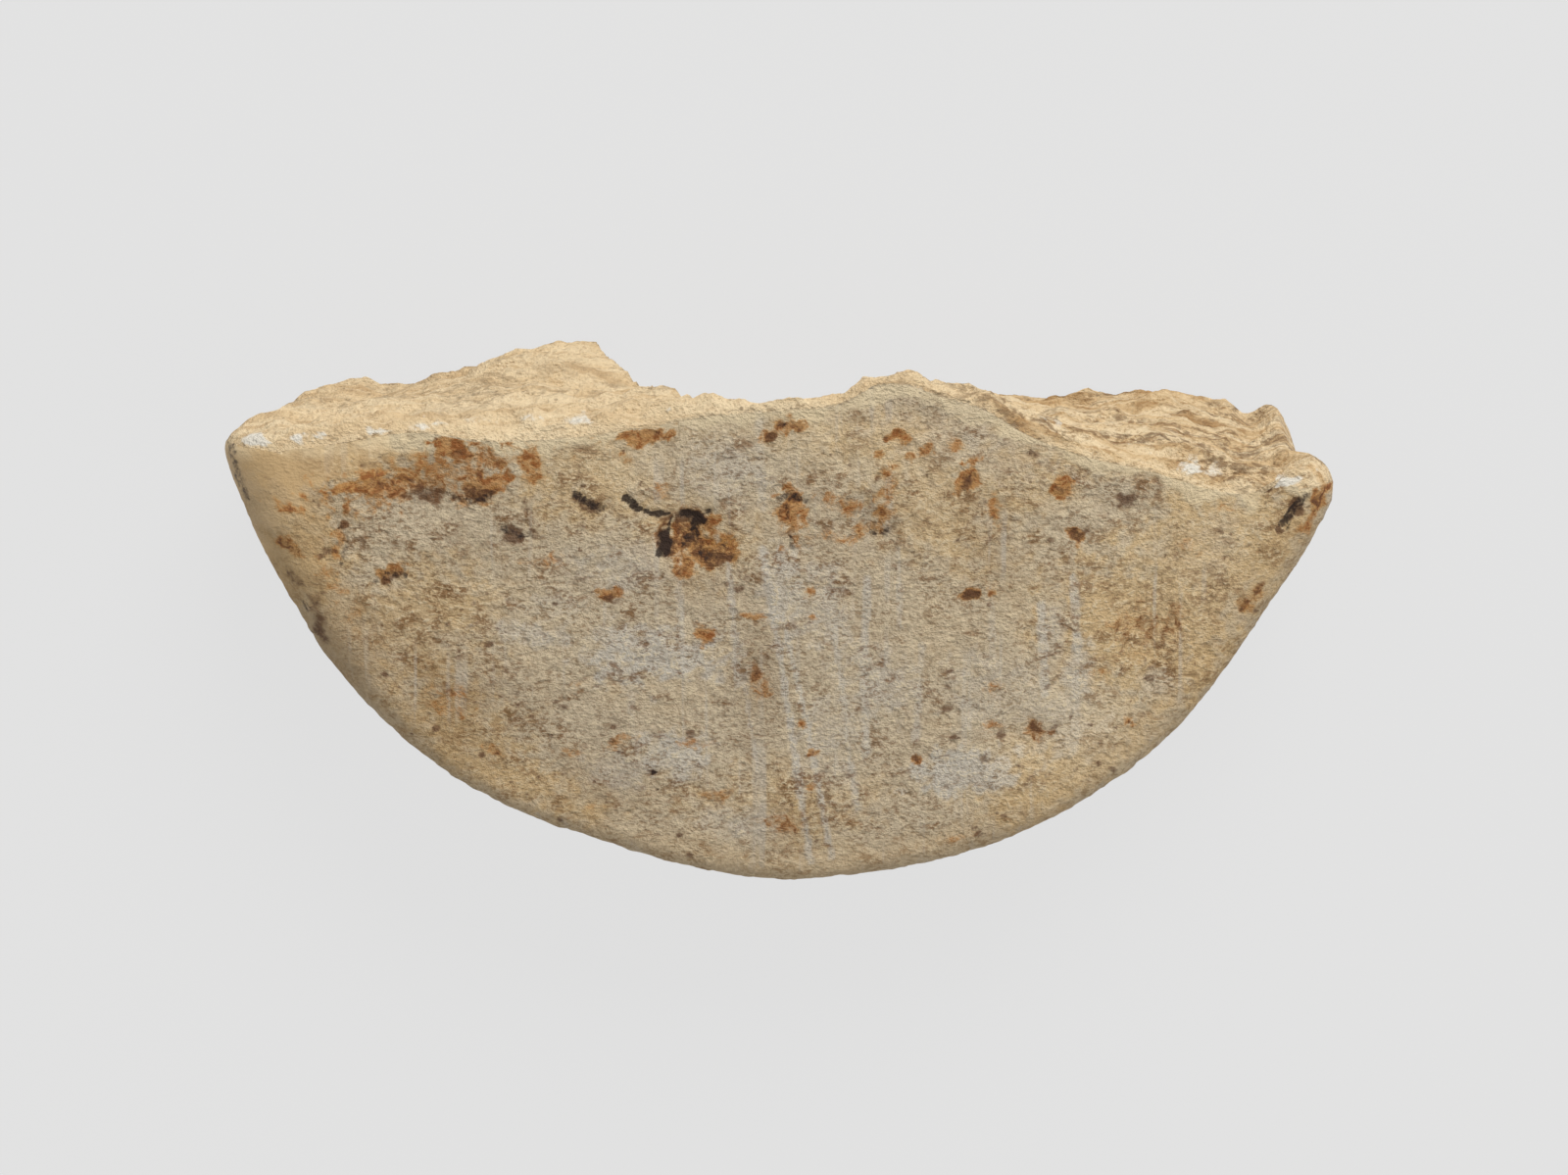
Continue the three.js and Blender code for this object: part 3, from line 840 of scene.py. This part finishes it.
quads = np.concatenate([
    net_faces(rim_rows[:-1], rim_rows[1:], False),
    net_faces(break_rows[:-1], break_rows[1:], True),
    net_faces(front_net[:-1], front_net[1:], False),
    net_faces(back_net[:-1], back_net[1:], True)])
faces = [list(dict.fromkeys(quad)) for quad in quads.tolist()]
faces = [face for face in faces if len(face) > 2]
print("faces:", len(faces))

# %% [markdown]
# The finish has to follow the surface and not a direction in space. So each point keeps how
# much of the break, the worn margin, the polish or a stain it lies in, from 0 to 1, and the
# shader and the weathering read these masks by name. An image wrapped round the stone could
# hold the same, but it would stretch where the face turns into the rim.

# %% Where each point lies
x, y, height = points.T
across, down = to_picture(points)


def marked(numbers):
    marks = np.zeros(len(points))
    marks[numbers.ravel()] = 1
    return marks


on_front = marked(front_net) > 0
on_break = marked(break_rows[:, 1:-1])
on_rim = marked(rim_rows)
in_hole = marked(np.concatenate(drilled_points))
print("points on the front face:", np.count_nonzero(on_front))

# %% How far down the sides a mark reaches, in mm above the back
EDGE_NOISE_LENGTHS = (1.3, 0.8)
STAINS_END = (5.0, 6.7)
CHIPS_END = (7.6, 9.0)
VEINS_AND_SHADE_END = (6.2, 7.4)
ENDS_RAGGED = 0.7
VEINS_AND_SHADE_RAGGED = 0.4
edge_noise = layered_noise(x / EDGE_NOISE_LENGTHS[0], y / EDGE_NOISE_LENGTHS[1])
stains_reach = smooth(height + ENDS_RAGGED * edge_noise, *STAINS_END)
chips_reach = smooth(height + ENDS_RAGGED * edge_noise, *CHIPS_END)
veins_and_shade_reach = smooth(height + VEINS_AND_SHADE_RAGGED * edge_noise, *VEINS_AND_SHADE_END)
print("points that stains can reach:", np.count_nonzero(stains_reach))

# %% Masks of patches and lines, painted rim shade among them, with outlines shifted by noise before they fade
RAGGED_STEP = 8
STAIN_RAGGED = 0.85
WEATHER_RAGGED = 0.9
SOFT_RAGGED = 0.4
PATCH_FADE = (0.35, 1.5)
LINE_WANDER = 2.5
LINE_WANDER_STEP = 14
LINE_FADE = (0.5, 1.6)


def fading(distance, full, gone):
    return smooth(-distance, -gone, -full)


def patch_mask(patches, ragged=STAIN_RAGGED):
    total = np.zeros(len(points))
    raggedness = ragged * layered_noise(across / RAGGED_STEP, down / RAGGED_STEP)
    for middle_x, middle_y, half_width, half_height, turn, strength in patches:
        cosine = math.cos(math.radians(turn))
        sine = -math.sin(math.radians(turn))
        aside = (across - middle_x) * cosine - (down - middle_y) * sine
        below = (across - middle_x) * sine + (down - middle_y) * cosine
        reach = np.sqrt((aside / half_width) ** 2 + (below / half_height) ** 2) + raggedness
        total = np.maximum(total, strength * fading(reach, *PATCH_FADE))
    return total


def line_mask(traced_lines):
    total = np.zeros(len(points))
    wander = LINE_WANDER * layered_noise(across / LINE_WANDER_STEP, down / LINE_WANDER_STEP)
    for places, width, strength in traced_lines:
        full, gone = [width * share for share in LINE_FADE]
        for (x0, y0), (x1, y1) in zip(places, places[1:]):
            run = (x1 - x0) ** 2 + (y1 - y0) ** 2
            way = np.clip(((across - x0) * (x1 - x0) + (down - y0) * (y1 - y0)) / run, 0, 1)
            away = np.hypot(across - x0 - way * (x1 - x0), down - y0 - way * (y1 - y0))
            total = np.maximum(total, strength * fading(away + wander, full, gone))
    return total


polished_patch = patch_mask(POLISHED_PATCH)
print("points in the polished patch:", np.count_nonzero(polished_patch))

# %% The break and the worn margin beside it
EDGE_MARGIN = 0.62
MARGIN_FADE = (0.3, 1.8)
MARGIN_RAGGED = 0.8
MARGIN_GAP_LENGTH = 2.6
MARGIN_MEAN = 0.7
MARGIN_GAPS = 0.6
BREAK_MARGIN = 0.35
BREAK_MARGIN_RISE = (8.8, 9.6)
FRONT_LEVEL_BROKEN = 0.6
NEXT_LEVEL_BROKEN = 0.85
broken_share = np.where(on_front, 0.0, on_break)
broken_share[break_rows[-1]] = FRONT_LEVEL_BROKEN
broken_share[break_rows[-2, 1:-1]] = NEXT_LEVEL_BROKEN
front_edge = points[break_rows[-1]]
below_edge = np.interp(x, front_edge[:, 0], front_edge[:, 1]) - y
full, gone = [EDGE_MARGIN * share for share in MARGIN_FADE]
margin = fading(below_edge + MARGIN_RAGGED * edge_noise, full, gone)
margin_noise = layered_noise(x / MARGIN_GAP_LENGTH, y / MARGIN_GAP_LENGTH)
margin = margin * np.clip(MARGIN_MEAN + MARGIN_GAPS * margin_noise, 0, 1) * stains_reach
margin = np.where(on_break > 0, BREAK_MARGIN * smooth(height, *BREAK_MARGIN_RISE), margin)
print("points in the margin:", np.count_nonzero(margin))

# %% The rim's band, which is tan all round and polished by hands at the left
BAND_FADE = (-0.2, 2.2)
BAND_RAGGED = 0.6
LEFT_SIDE = (52, 74)
LEFT_SIDE_RAGGED = 5
BAND_ALL_ROUND = 0.45
POLISH_MEAN = 0.7
POLISH_WEAR = 0.4
angle = np.degrees(np.arctan2(x, -y))
below_rim = full_radius(angle) - wall_inset(angle, 1) - np.hypot(x, y)
band = np.where(on_front, fading(below_rim + BAND_RAGGED * edge_noise, *BAND_FADE), on_rim)
left_side = smooth(-angle + LEFT_SIDE_RAGGED * edge_noise, *LEFT_SIDE)
band = band * (BAND_ALL_ROUND + (1 - BAND_ALL_ROUND) * left_side)
polish = band * left_side * (POLISH_MEAN + POLISH_WEAR * edge_noise)
polished = np.clip(polish + polished_patch, 0, 1)
print("points with a polish:", np.count_nonzero(polished))

# %% All masks by name
RIGHT_SIDE = (4, 12)
on_face = stains_reach * (1 - on_break)
masks = {
    "broken": broken_share,
    "drilled": in_hole,
    "margin": margin,
    "rim_band": band,
    "right_side": smooth(x, *RIGHT_SIDE),
    "rust": patch_mask(RUST) * on_face,
    "brown": np.maximum(patch_mask(BROWN), patch_mask(SPECKS, SOFT_RAGGED)) * on_face,
    # black: dark patches and veins, and the painted shade along the left rim
    "black": np.maximum(patch_mask(BLACK) * stains_reach, line_mask(VEINS_AND_SHADE) * veins_and_shade_reach),
    "chalk": np.maximum(patch_mask(CHALK, WEATHER_RAGGED), line_mask(STREAKS)) * stains_reach,
    "tan": patch_mask(TAN, WEATHER_RAGGED) * stains_reach,
    "white": patch_mask(WHITE) * chips_reach,
    "shade": patch_mask(SHADE, SOFT_RAGGED) * stains_reach,
    "light": patch_mask(LIGHT, SOFT_RAGGED) * stains_reach,
    "polished": polished * (1 - on_break)}
print("rust covers", round(100 * masks["rust"][on_front].mean(), 1), "% of the face")

# %% [markdown]
# Weather eats the soft parts first. The stained spots have crumbled a little, the polished and
# worn ones are smoother than the rest, and the flat back has to stay flat, because the stone
# rests on it. One more mask says how much of the relief each point gets.

# %% Relief
STAIN_HOLLOW = 0.08
BROWN_HOLLOW_SHARE = 0.6
RESTING = (0.05, 0.6)
POLISH_SMOOTHS = 0.75
DRILL_SMOOTHS = 0.5
MARGIN_SMOOTHS = 0.6
# the black mask also holds the painted rim shade, which is hollowed with the stains
crumbled = np.maximum(masks["black"], BROWN_HOLLOW_SHARE * masks["brown"]) * STAIN_HOLLOW
points[:, 2] -= np.where(on_front, crumbled, 0)
relief = np.where(on_break > 0, 1.0, 1.0 - POLISH_SMOOTHS * polished)
relief = relief * (1 - fading(height, *RESTING)) * (1 - DRILL_SMOOTHS * in_hole)
masks["relief"] = relief * (1 - MARGIN_SMOOTHS * margin * on_front)
print("deepest crumbled spot:", round(float(crumbled.max()), 3), "mm")

# %% The plain mesh, in metres and in the frame's place
SHARP_CORNER = 48
mesh = bpy.data.meshes.new("whorl_stone")
own_low = points.min(axis=0)
own_high = points.max(axis=0)
shift = (NODE_LOW + NODE_HIGH) / 2 - (own_low + own_high) / 2 * MM
shift[2] = NODE_LOW[2] - own_low[2] * MM
placed = points * MM + shift
mesh.from_pydata(placed.tolist(), [], faces)
mesh.shade_smooth()
mesh.set_sharp_from_angle(angle=math.radians(SHARP_CORNER))
for name, values in masks.items():
    attribute = mesh.attributes.new(name, "FLOAT", "POINT")
    attribute.data.foreach_set("value", np.asarray(values, dtype=np.float32))
stone = bpy.data.objects.new("whorl_stone", mesh)
bpy.context.scene.collection.objects.link(stone)
print("spindle axis in the frame, mm:", np.round(shift / MM, 3))

# %% [markdown]
# The finish is one shader, because the whole object is one stone. It is mixed in layers, most
# as weather made them: clean stone, tan and chalky weathering, broad areas that are partly
# painted shade and light, pale worn edges, the bare break, and last the rust, brown and black
# stains, with painted shade along the left rim among the black. Noise breaks up the edge of
# every layer.

# %% The stone's material, and the nodes that it is made of
stone_material = bpy.data.materials.new("weathered_stone")
stone_material.use_nodes = True
surface = stone_material.node_tree.nodes["Principled BSDF"]
surface.inputs["Specular IOR Level"].default_value = 0.35
surface.inputs["IOR"].default_value = 1.5
shader = Kit(stone_material.node_tree)
EVEN = (1, 1, 1)
stone_place = shader.nodes.new("ShaderNodeTexCoord").outputs["Object"]


def scaled(size, stretch):
    """The place on the stone, counted in steps of a size in mm."""
    node = shader.nodes.new("ShaderNodeMapping")
    shader.set(node.inputs["Vector"], stone_place)
    node.inputs["Scale"].default_value = [1 / (size * MM * share) for share in stretch]
    return node.outputs[0]


def noise(size, stretch, detail, roughness, distortion=0.0):
    node = shader.nodes.new("ShaderNodeTexNoise")
    shader.set(node.inputs["Vector"], scaled(size, stretch))
    node.inputs["Scale"].default_value = 1
    node.inputs["Detail"].default_value = detail
    node.inputs["Roughness"].default_value = roughness
    node.inputs["Distortion"].default_value = distortion
    return node.outputs["Fac"]


def cells(size, stretch):
    node = shader.nodes.new("ShaderNodeTexVoronoi")
    shader.set(node.inputs["Vector"], scaled(size, stretch))
    node.inputs["Scale"].default_value = 1
    return node.outputs["Distance"]


def mask(name):
    node = shader.nodes.new("ShaderNodeAttribute")
    node.attribute_name = name
    return node.outputs["Fac"]


def mix_colour(share, first, second):
    node = shader.nodes.new("ShaderNodeMix")
    node.data_type = "RGBA"
    factors = [socket for socket in node.inputs if socket.name == "Factor"]
    colours = [socket for socket in node.inputs if socket.type == "RGBA"]
    for socket, value in zip((factors[0], *colours), (share, first, second)):
        shader.set(socket, value)
    return [socket for socket in node.outputs if socket.type == "RGBA"][0]


print("masks that the shader can read:", len(masks))

# %% The stone's colours
FACE_GREY = screen_colour(195, 178, 151)
FACE_TAN = screen_colour(206, 176, 130)
FACE_BROWN = screen_colour(128, 98, 62)
SPECK_BROWN = screen_colour(124, 88, 50)
CHALK_GREY = screen_colour(200, 193, 180)
RIM_TAN = screen_colour(194, 164, 119)
CRUMB_CREAM = screen_colour(222, 204, 170)
WORN_CREAM = screen_colour(228, 209, 172)
WARM_LIGHT = screen_colour(242, 218, 176)
CHIP_WHITE = screen_colour(236, 229, 214)
BREAK_CREAM = screen_colour(220, 190, 145)
BREAK_PALE = screen_colour(236, 213, 174)
BREAK_DARK = screen_colour(166, 127, 80)
BREAK_PIT = screen_colour(116, 86, 54)
OCHRE = screen_colour(182, 130, 68)
RUST_ORANGE = screen_colour(142, 84, 36)
DARK_BROWN = screen_colour(98, 66, 42)
NEAR_BLACK = screen_colour(44, 31, 25)
print("the face's grey as linear light:", np.round(FACE_GREY[:3], 3))

# %% Noise of the stone's own grain: size in mm, stretch, detail, roughness and distortion
patchy = noise(2.0, EVEN, 4, 0.6, 0.5)
blotches = noise(3.2, EVEN, 5, 0.6, 0.4)
mottle = noise(0.9, (1.4, 1, 1), 5, 0.62, 0.3)
beds = noise(1.2, (5, 5, 0.35), 5, 0.6, 0.2)
grit = noise(0.12, (1.3, 1, 1), 3, 0.6)
grain = noise(0.22, (1.5, 1, 1), 5, 0.65)
grain = shader.plus(grain, 0.6, shader.math("SUBTRACT", grit, 0.5))
rough_share = shader.between(mask("polished"), 0.0, 0.8, 1.0, 0.35)
print("nodes so far:", len(shader.nodes))

# %% [markdown]
# The face is grey stone that has turned tan in broad patches and chalky in others. Its grain
# is open: dark gaps, pale crumbs between them and brown specks, which are weaker wherever a
# hand has polished it. Broad areas are darker or lighter, as the photograph shows: painted
# shade on the left and at the bottom, painted light at the top and right, and the stone's own
# tone in the middle.

# %% Tan and chalky weathering
tan_share = shader.plus(mask("tan"), 0.9, blotches)
face = mix_colour(shader.between(tan_share, 0.35, 1.05), FACE_GREY, FACE_TAN)
chalk_share = shader.plus(mask("chalk"), 0.8, mottle)
face = mix_colour(shader.between(chalk_share, 0.5, 1.2, 0.0, 0.9), face, CHALK_GREY)

# %% Gaps, crumbs and specks
gap_strength = shader.times(shader.between(patchy, 0.35, 0.65, 0.2, 0.72), rough_share)
gaps = shader.times(shader.between(grain, 0.52, 0.36), gap_strength)
face = mix_colour(gaps, face, FACE_BROWN)
crumb_strength = shader.times(shader.between(patchy, 0.65, 0.35, 0.36, 0.7), rough_share)
crumbs = shader.times(shader.between(grain, 0.5, 0.66), crumb_strength)
face = mix_colour(crumbs, face, CRUMB_CREAM)
soft_spots = shader.between(shader.plus(mottle, 0.12, mask("tan")), 0.53, 0.69)
speckle = shader.times(soft_spots, shader.between(grain, 0.66, 0.46))
speckle = shader.times(shader.times(speckle, rough_share), 0.8)
face = mix_colour(speckle, face, SPECK_BROWN)

# %% Darker and lighter areas, partly painted shade and light, partly the stone's own tone
shade_share = shader.times(mask("shade"), shader.between(blotches, 0.3, 0.6, 0.14, 0.42))
face = mix_colour(shade_share, face, FACE_BROWN)
light_share = shader.times(mask("light"), shader.between(blotches, 0.35, 0.65, 0.34, 0.18))
face = mix_colour(light_share, face, WARM_LIGHT)

# %% Pale scratches up the middle of the face
scratches = shader.between(noise(0.8, (0.7, 22, 1), 3, 0.5, 0.1), 0.56, 0.68, 0.0, 0.4)
scratch_fade = shader.between(noise(5, EVEN, 2, 0.5), 0.42, 0.58)
scratches = shader.times(shader.times(scratches, scratch_fade), rough_share)
face = mix_colour(scratches, face, CHALK_GREY)

# %% The polished rim and the worn margin of the break
face = mix_colour(shader.between(mask("rim_band"), 0.1, 0.9, 0.0, 0.7), face, RIM_TAN)
margin_share = shader.plus(mask("margin"), 0.5, mottle)
face = mix_colour(shader.between(margin_share, 0.45, 1.15, 0.0, 0.8), face, WORN_CREAM)
print("nodes with the face:", len(shader.nodes))

# %% [markdown]
# The break is fresher than the face, so it is creamier and shows the beds as pale and dark
# lines. The noise for them is stretched along the beds and squeezed across. The soft beds are
# pitted, more so at the right end, and the drilled wall has kept some of the face's tan.

# %% The bare break
bare = mix_colour(shader.between(beds, 0.38, 0.62), BREAK_CREAM, BREAK_PALE)
bed_stain = shader.times(shader.between(beds, 0.5, 0.36), shader.between(mottle, 0.4, 0.6))
bare = mix_colour(shader.times(bed_stain, 0.8), bare, BREAK_DARK)
bare = mix_colour(shader.between(grain, 0.5, 0.34, 0.0, 0.55), bare, BREAK_DARK)
soft_beds = shader.plus(noise(1.0, (6, 6, 1.3), 4, 0.6, 0.3), 0.07, mask("right_side"))
bed_grit = noise(0.24, (2.6, 1.2, 1.0), 4, 0.65, 0.3)
pitted = shader.times(shader.between(soft_beds, 0.5, 0.64), shader.between(bed_grit, 0.58, 0.4))
bare = mix_colour(shader.times(pitted, 0.75), bare, BREAK_PIT)
clean_share = shader.between(mask("right_side"), 0.0, 1.0, 0.35, 0.0)
bare = mix_colour(clean_share, bare, BREAK_PALE)
bare = mix_colour(shader.times(mask("drilled"), 0.4), bare, FACE_TAN)

# %% The break beside the face, with white chips along the edge
bare_share = shader.math("ADD", mask("broken"), shader.between(grain, 0.3, 0.7, -0.25, 0.25))
colour = mix_colour(shader.between(bare_share, 0.35, 0.7), face, bare)
white_share = shader.plus(mask("white"), 0.7, grain)
colour = mix_colour(shader.between(white_share, 0.65, 1.15), colour, CHIP_WHITE)
print("nodes with the break:", len(shader.nodes))

# %% [markdown]
# Stains come last, because they soaked into all the rest. A stain is deepest in the middle of
# its patch, so each colour starts at its own depth: ochre far out, then rust, brown and black.
# Fine noise frays the outline, as the open grain of the stone does. The black layer also
# carries the painted shade along the left rim.

# %% The stains
fray = shader.math("SUBTRACT", noise(0.45, EVEN, 6, 0.68, 0.7), 0.5)
fine_fray = shader.math("SUBTRACT", grain, 0.5)


def stained(colour, name, low, high, tint, most, ragged=1.5):
    depth = shader.plus(shader.plus(mask(name), ragged, fray), 0.5, fine_fray)
    return mix_colour(shader.between(depth, low, high, 0.0, most), colour, tint)


colour = stained(colour, "rust", 0.16, 0.66, OCHRE, 0.82)
rust_veins = shader.between(noise(0.45, EVEN, 4, 0.65, 0.8), 0.4, 0.62)
inner_rust = stained(colour, "rust", 0.36, 0.85, RUST_ORANGE, 0.95)
colour = mix_colour(rust_veins, colour, inner_rust)
deep_rust = stained(colour, "rust", 0.56, 0.95, DARK_BROWN, 0.75)
colour = mix_colour(shader.between(patchy, 0.5, 0.62), colour, deep_rust)
colour = stained(colour, "brown", 0.26, 0.8, DARK_BROWN, 0.85)
# black stains, with the painted shade along the left rim
colour = stained(colour, "black", 0.36, 0.8, NEAR_BLACK, 0.92, 1.4)
dots = shader.times(shader.between(cells(1.1, EVEN), 0.1, 0.06), shader.between(blotches, 0.5, 0.6))
colour = mix_colour(shader.times(dots, 0.55), colour, DARK_BROWN)
shader.set(surface.inputs["Base Color"], colour)
print("nodes with the stains:", len(shader.nodes))

# %% [markdown]
# Stone that hands have polished shines a little, and the rest is dull. Grain that is finer
# than the mesh goes into a bump, and it fades where the stone is polished. Its mean is taken
# off first, because a height that is scaled without that would step at the polish's edge.

# %% Sheen and small relief
BUMP_DEPTH = 0.2 * MM
MEAN_HEIGHT = 1.2
shader.set(surface.inputs["Roughness"], shader.between(mask("polished"), 0.0, 1.0, 0.86, 0.6))
pits = shader.between(cells(0.55, (1.4, 1, 1)), 0.0, 0.4, -0.5, 0.0)
bump_height = shader.plus(shader.plus(grain, 0.45, grit), 1.2, mottle)
bump_height = shader.math("SUBTRACT", shader.math("ADD", bump_height, pits), MEAN_HEIGHT)
bump_height = shader.times(bump_height, shader.between(mask("polished"), 0, 1, 1, 0.25))
bump = shader.nodes.new("ShaderNodeBump")
bump.inputs["Strength"].default_value = 1.0
bump.inputs["Distance"].default_value = BUMP_DEPTH
shader.set(bump.inputs["Height"], bump_height)
shader.set(surface.inputs["Normal"], bump.outputs[0])
print("nodes in the finish:", len(shader.nodes))

# %% [markdown]
# Weather leaves thousands of small pits and crumbs, which follow one rule: the softer the spot,
# the deeper it is eaten. That is work for Geometry Nodes. The tree moves each point along its
# normal by noise at two sizes and by round pits, and the resting back stays flat.

# %% The weathering tree and its inputs
weathering = bpy.data.node_groups.new("weathering", "GeometryNodeTree")
tree = Kit(weathering)
sockets = {}
for name, kind in (("Geometry", "Geometry"), ("Wave size", "Float"), ("Wave depth", "Float"),
                   ("Crumb size", "Float"), ("Crumb depth", "Float"), ("Pit size", "Float"),
                   ("Pit depth", "Float"), ("Seed", "Float"), ("Stone", "Material")):
    socket = weathering.interface.new_socket(
        name=name, in_out="INPUT", socket_type="NodeSocket" + kind)
    sockets[name] = socket.identifier
weathering.interface.new_socket(
    name="Geometry", in_out="OUTPUT", socket_type="NodeSocketGeometry")
tree_in = tree.nodes.new("NodeGroupInput").outputs
tree_out = tree.nodes.new("NodeGroupOutput").inputs
place = tree.nodes.new("GeometryNodeInputPosition").outputs[0]
normal = tree.nodes.new("GeometryNodeInputNormal").outputs[0]
print("inputs of the tree:", len(sockets))

# %% Waves, crumbs and pits
NOISE_ROUGHNESS = 0.6
UNEATEN_NOISE = 0.6
PIT_EDGES = (0.15, 0.5)


def tree_scale(vector, factor):
    node = tree.nodes.new("ShaderNodeVectorMath")
    node.operation = "SCALE"
    tree.set(node.inputs[0], vector)
    tree.set(node.inputs["Scale"], factor)
    return node.outputs[0]


def placed_texture(node, name):
    """Counts a texture in steps of a named size; its fourth dimension is the seed."""
    node.inputs["Scale"].default_value = 1
    steps = tree.math("DIVIDE", 1.0, tree_in[name + " size"])
    tree.set(node.inputs["Vector"], tree_scale(place, steps))
    tree.set(node.inputs["W"], tree_in["Seed"])


def tree_noise(name, detail):
    node = tree.nodes.new("ShaderNodeTexNoise")
    node.noise_dimensions = "4D"
    node.inputs["Detail"].default_value = detail
    node.inputs["Roughness"].default_value = NOISE_ROUGHNESS
    placed_texture(node, name)
    above_mean = tree.math("SUBTRACT", node.outputs[0], UNEATEN_NOISE)
    return tree.times(above_mean, tree_in[name + " depth"])


def tree_pits(name):
    node = tree.nodes.new("ShaderNodeTexVoronoi")
    node.voronoi_dimensions = "4D"
    placed_texture(node, name)
    hollow = tree.between(node.outputs["Distance"], *PIT_EDGES, -1, 0)
    return tree.times(hollow, tree_in[name + " depth"])


relief_share = tree.nodes.new("GeometryNodeInputNamedAttribute")
relief_share.data_type = "FLOAT"
relief_share.inputs["Name"].default_value = "relief"
depth = tree.math("ADD", tree_noise("Wave", 3), tree_noise("Crumb", 4))
depth = tree.math("ADD", depth, tree_pits("Pit"))
depth = tree.times(depth, relief_share.outputs[0])
print("nodes in the tree:", len(tree.nodes))

# %% The end of the tree
moved = tree.nodes.new("GeometryNodeSetPosition")
tree.set(moved.inputs["Geometry"], tree_in["Geometry"])
tree.set(moved.inputs["Offset"], tree_scale(normal, depth))
realized = tree.nodes.new("GeometryNodeRealizeInstances")
tree.set(realized.inputs[0], moved.outputs[0])
finished = tree.nodes.new("GeometryNodeSetMaterial")
tree.set(finished.inputs["Geometry"], realized.outputs[0])
tree.set(finished.inputs["Material"], tree_in["Stone"])
tree.set(tree_out[0], finished.outputs[0])

# %% Weathering the stone
WEATHERING = {
    "Wave size": 1.6 * MM,
    "Wave depth": 0.22 * MM,
    "Crumb size": 0.55 * MM,
    "Crumb depth": 0.26 * MM,
    "Pit size": 1.3 * MM,
    "Pit depth": 0.06 * MM,
    "Seed": 3.7,
    "Stone": stone_material}
modifier = stone.modifiers.new("weathering", "NODES")
modifier.node_group = weathering
for name, value in WEATHERING.items():
    modifier[sockets[name]] = value
evaluated = stone.evaluated_get(bpy.context.evaluated_depsgraph_get())
weathered = bpy.data.meshes.new_from_object(evaluated)
stone.modifiers.clear()
stone.data = weathered
weathered.name = "whorl_stone"
low_point = min(vertex.co.z for vertex in weathered.vertices)
print("lowest point in mm:", round(low_point / MM, 4))

# %% The stone takes the place of its plain node
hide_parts(NODE)
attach(stone, "root")

# %% The picture's colours stay as written
bpy.context.scene.view_settings.view_transform = "Standard"
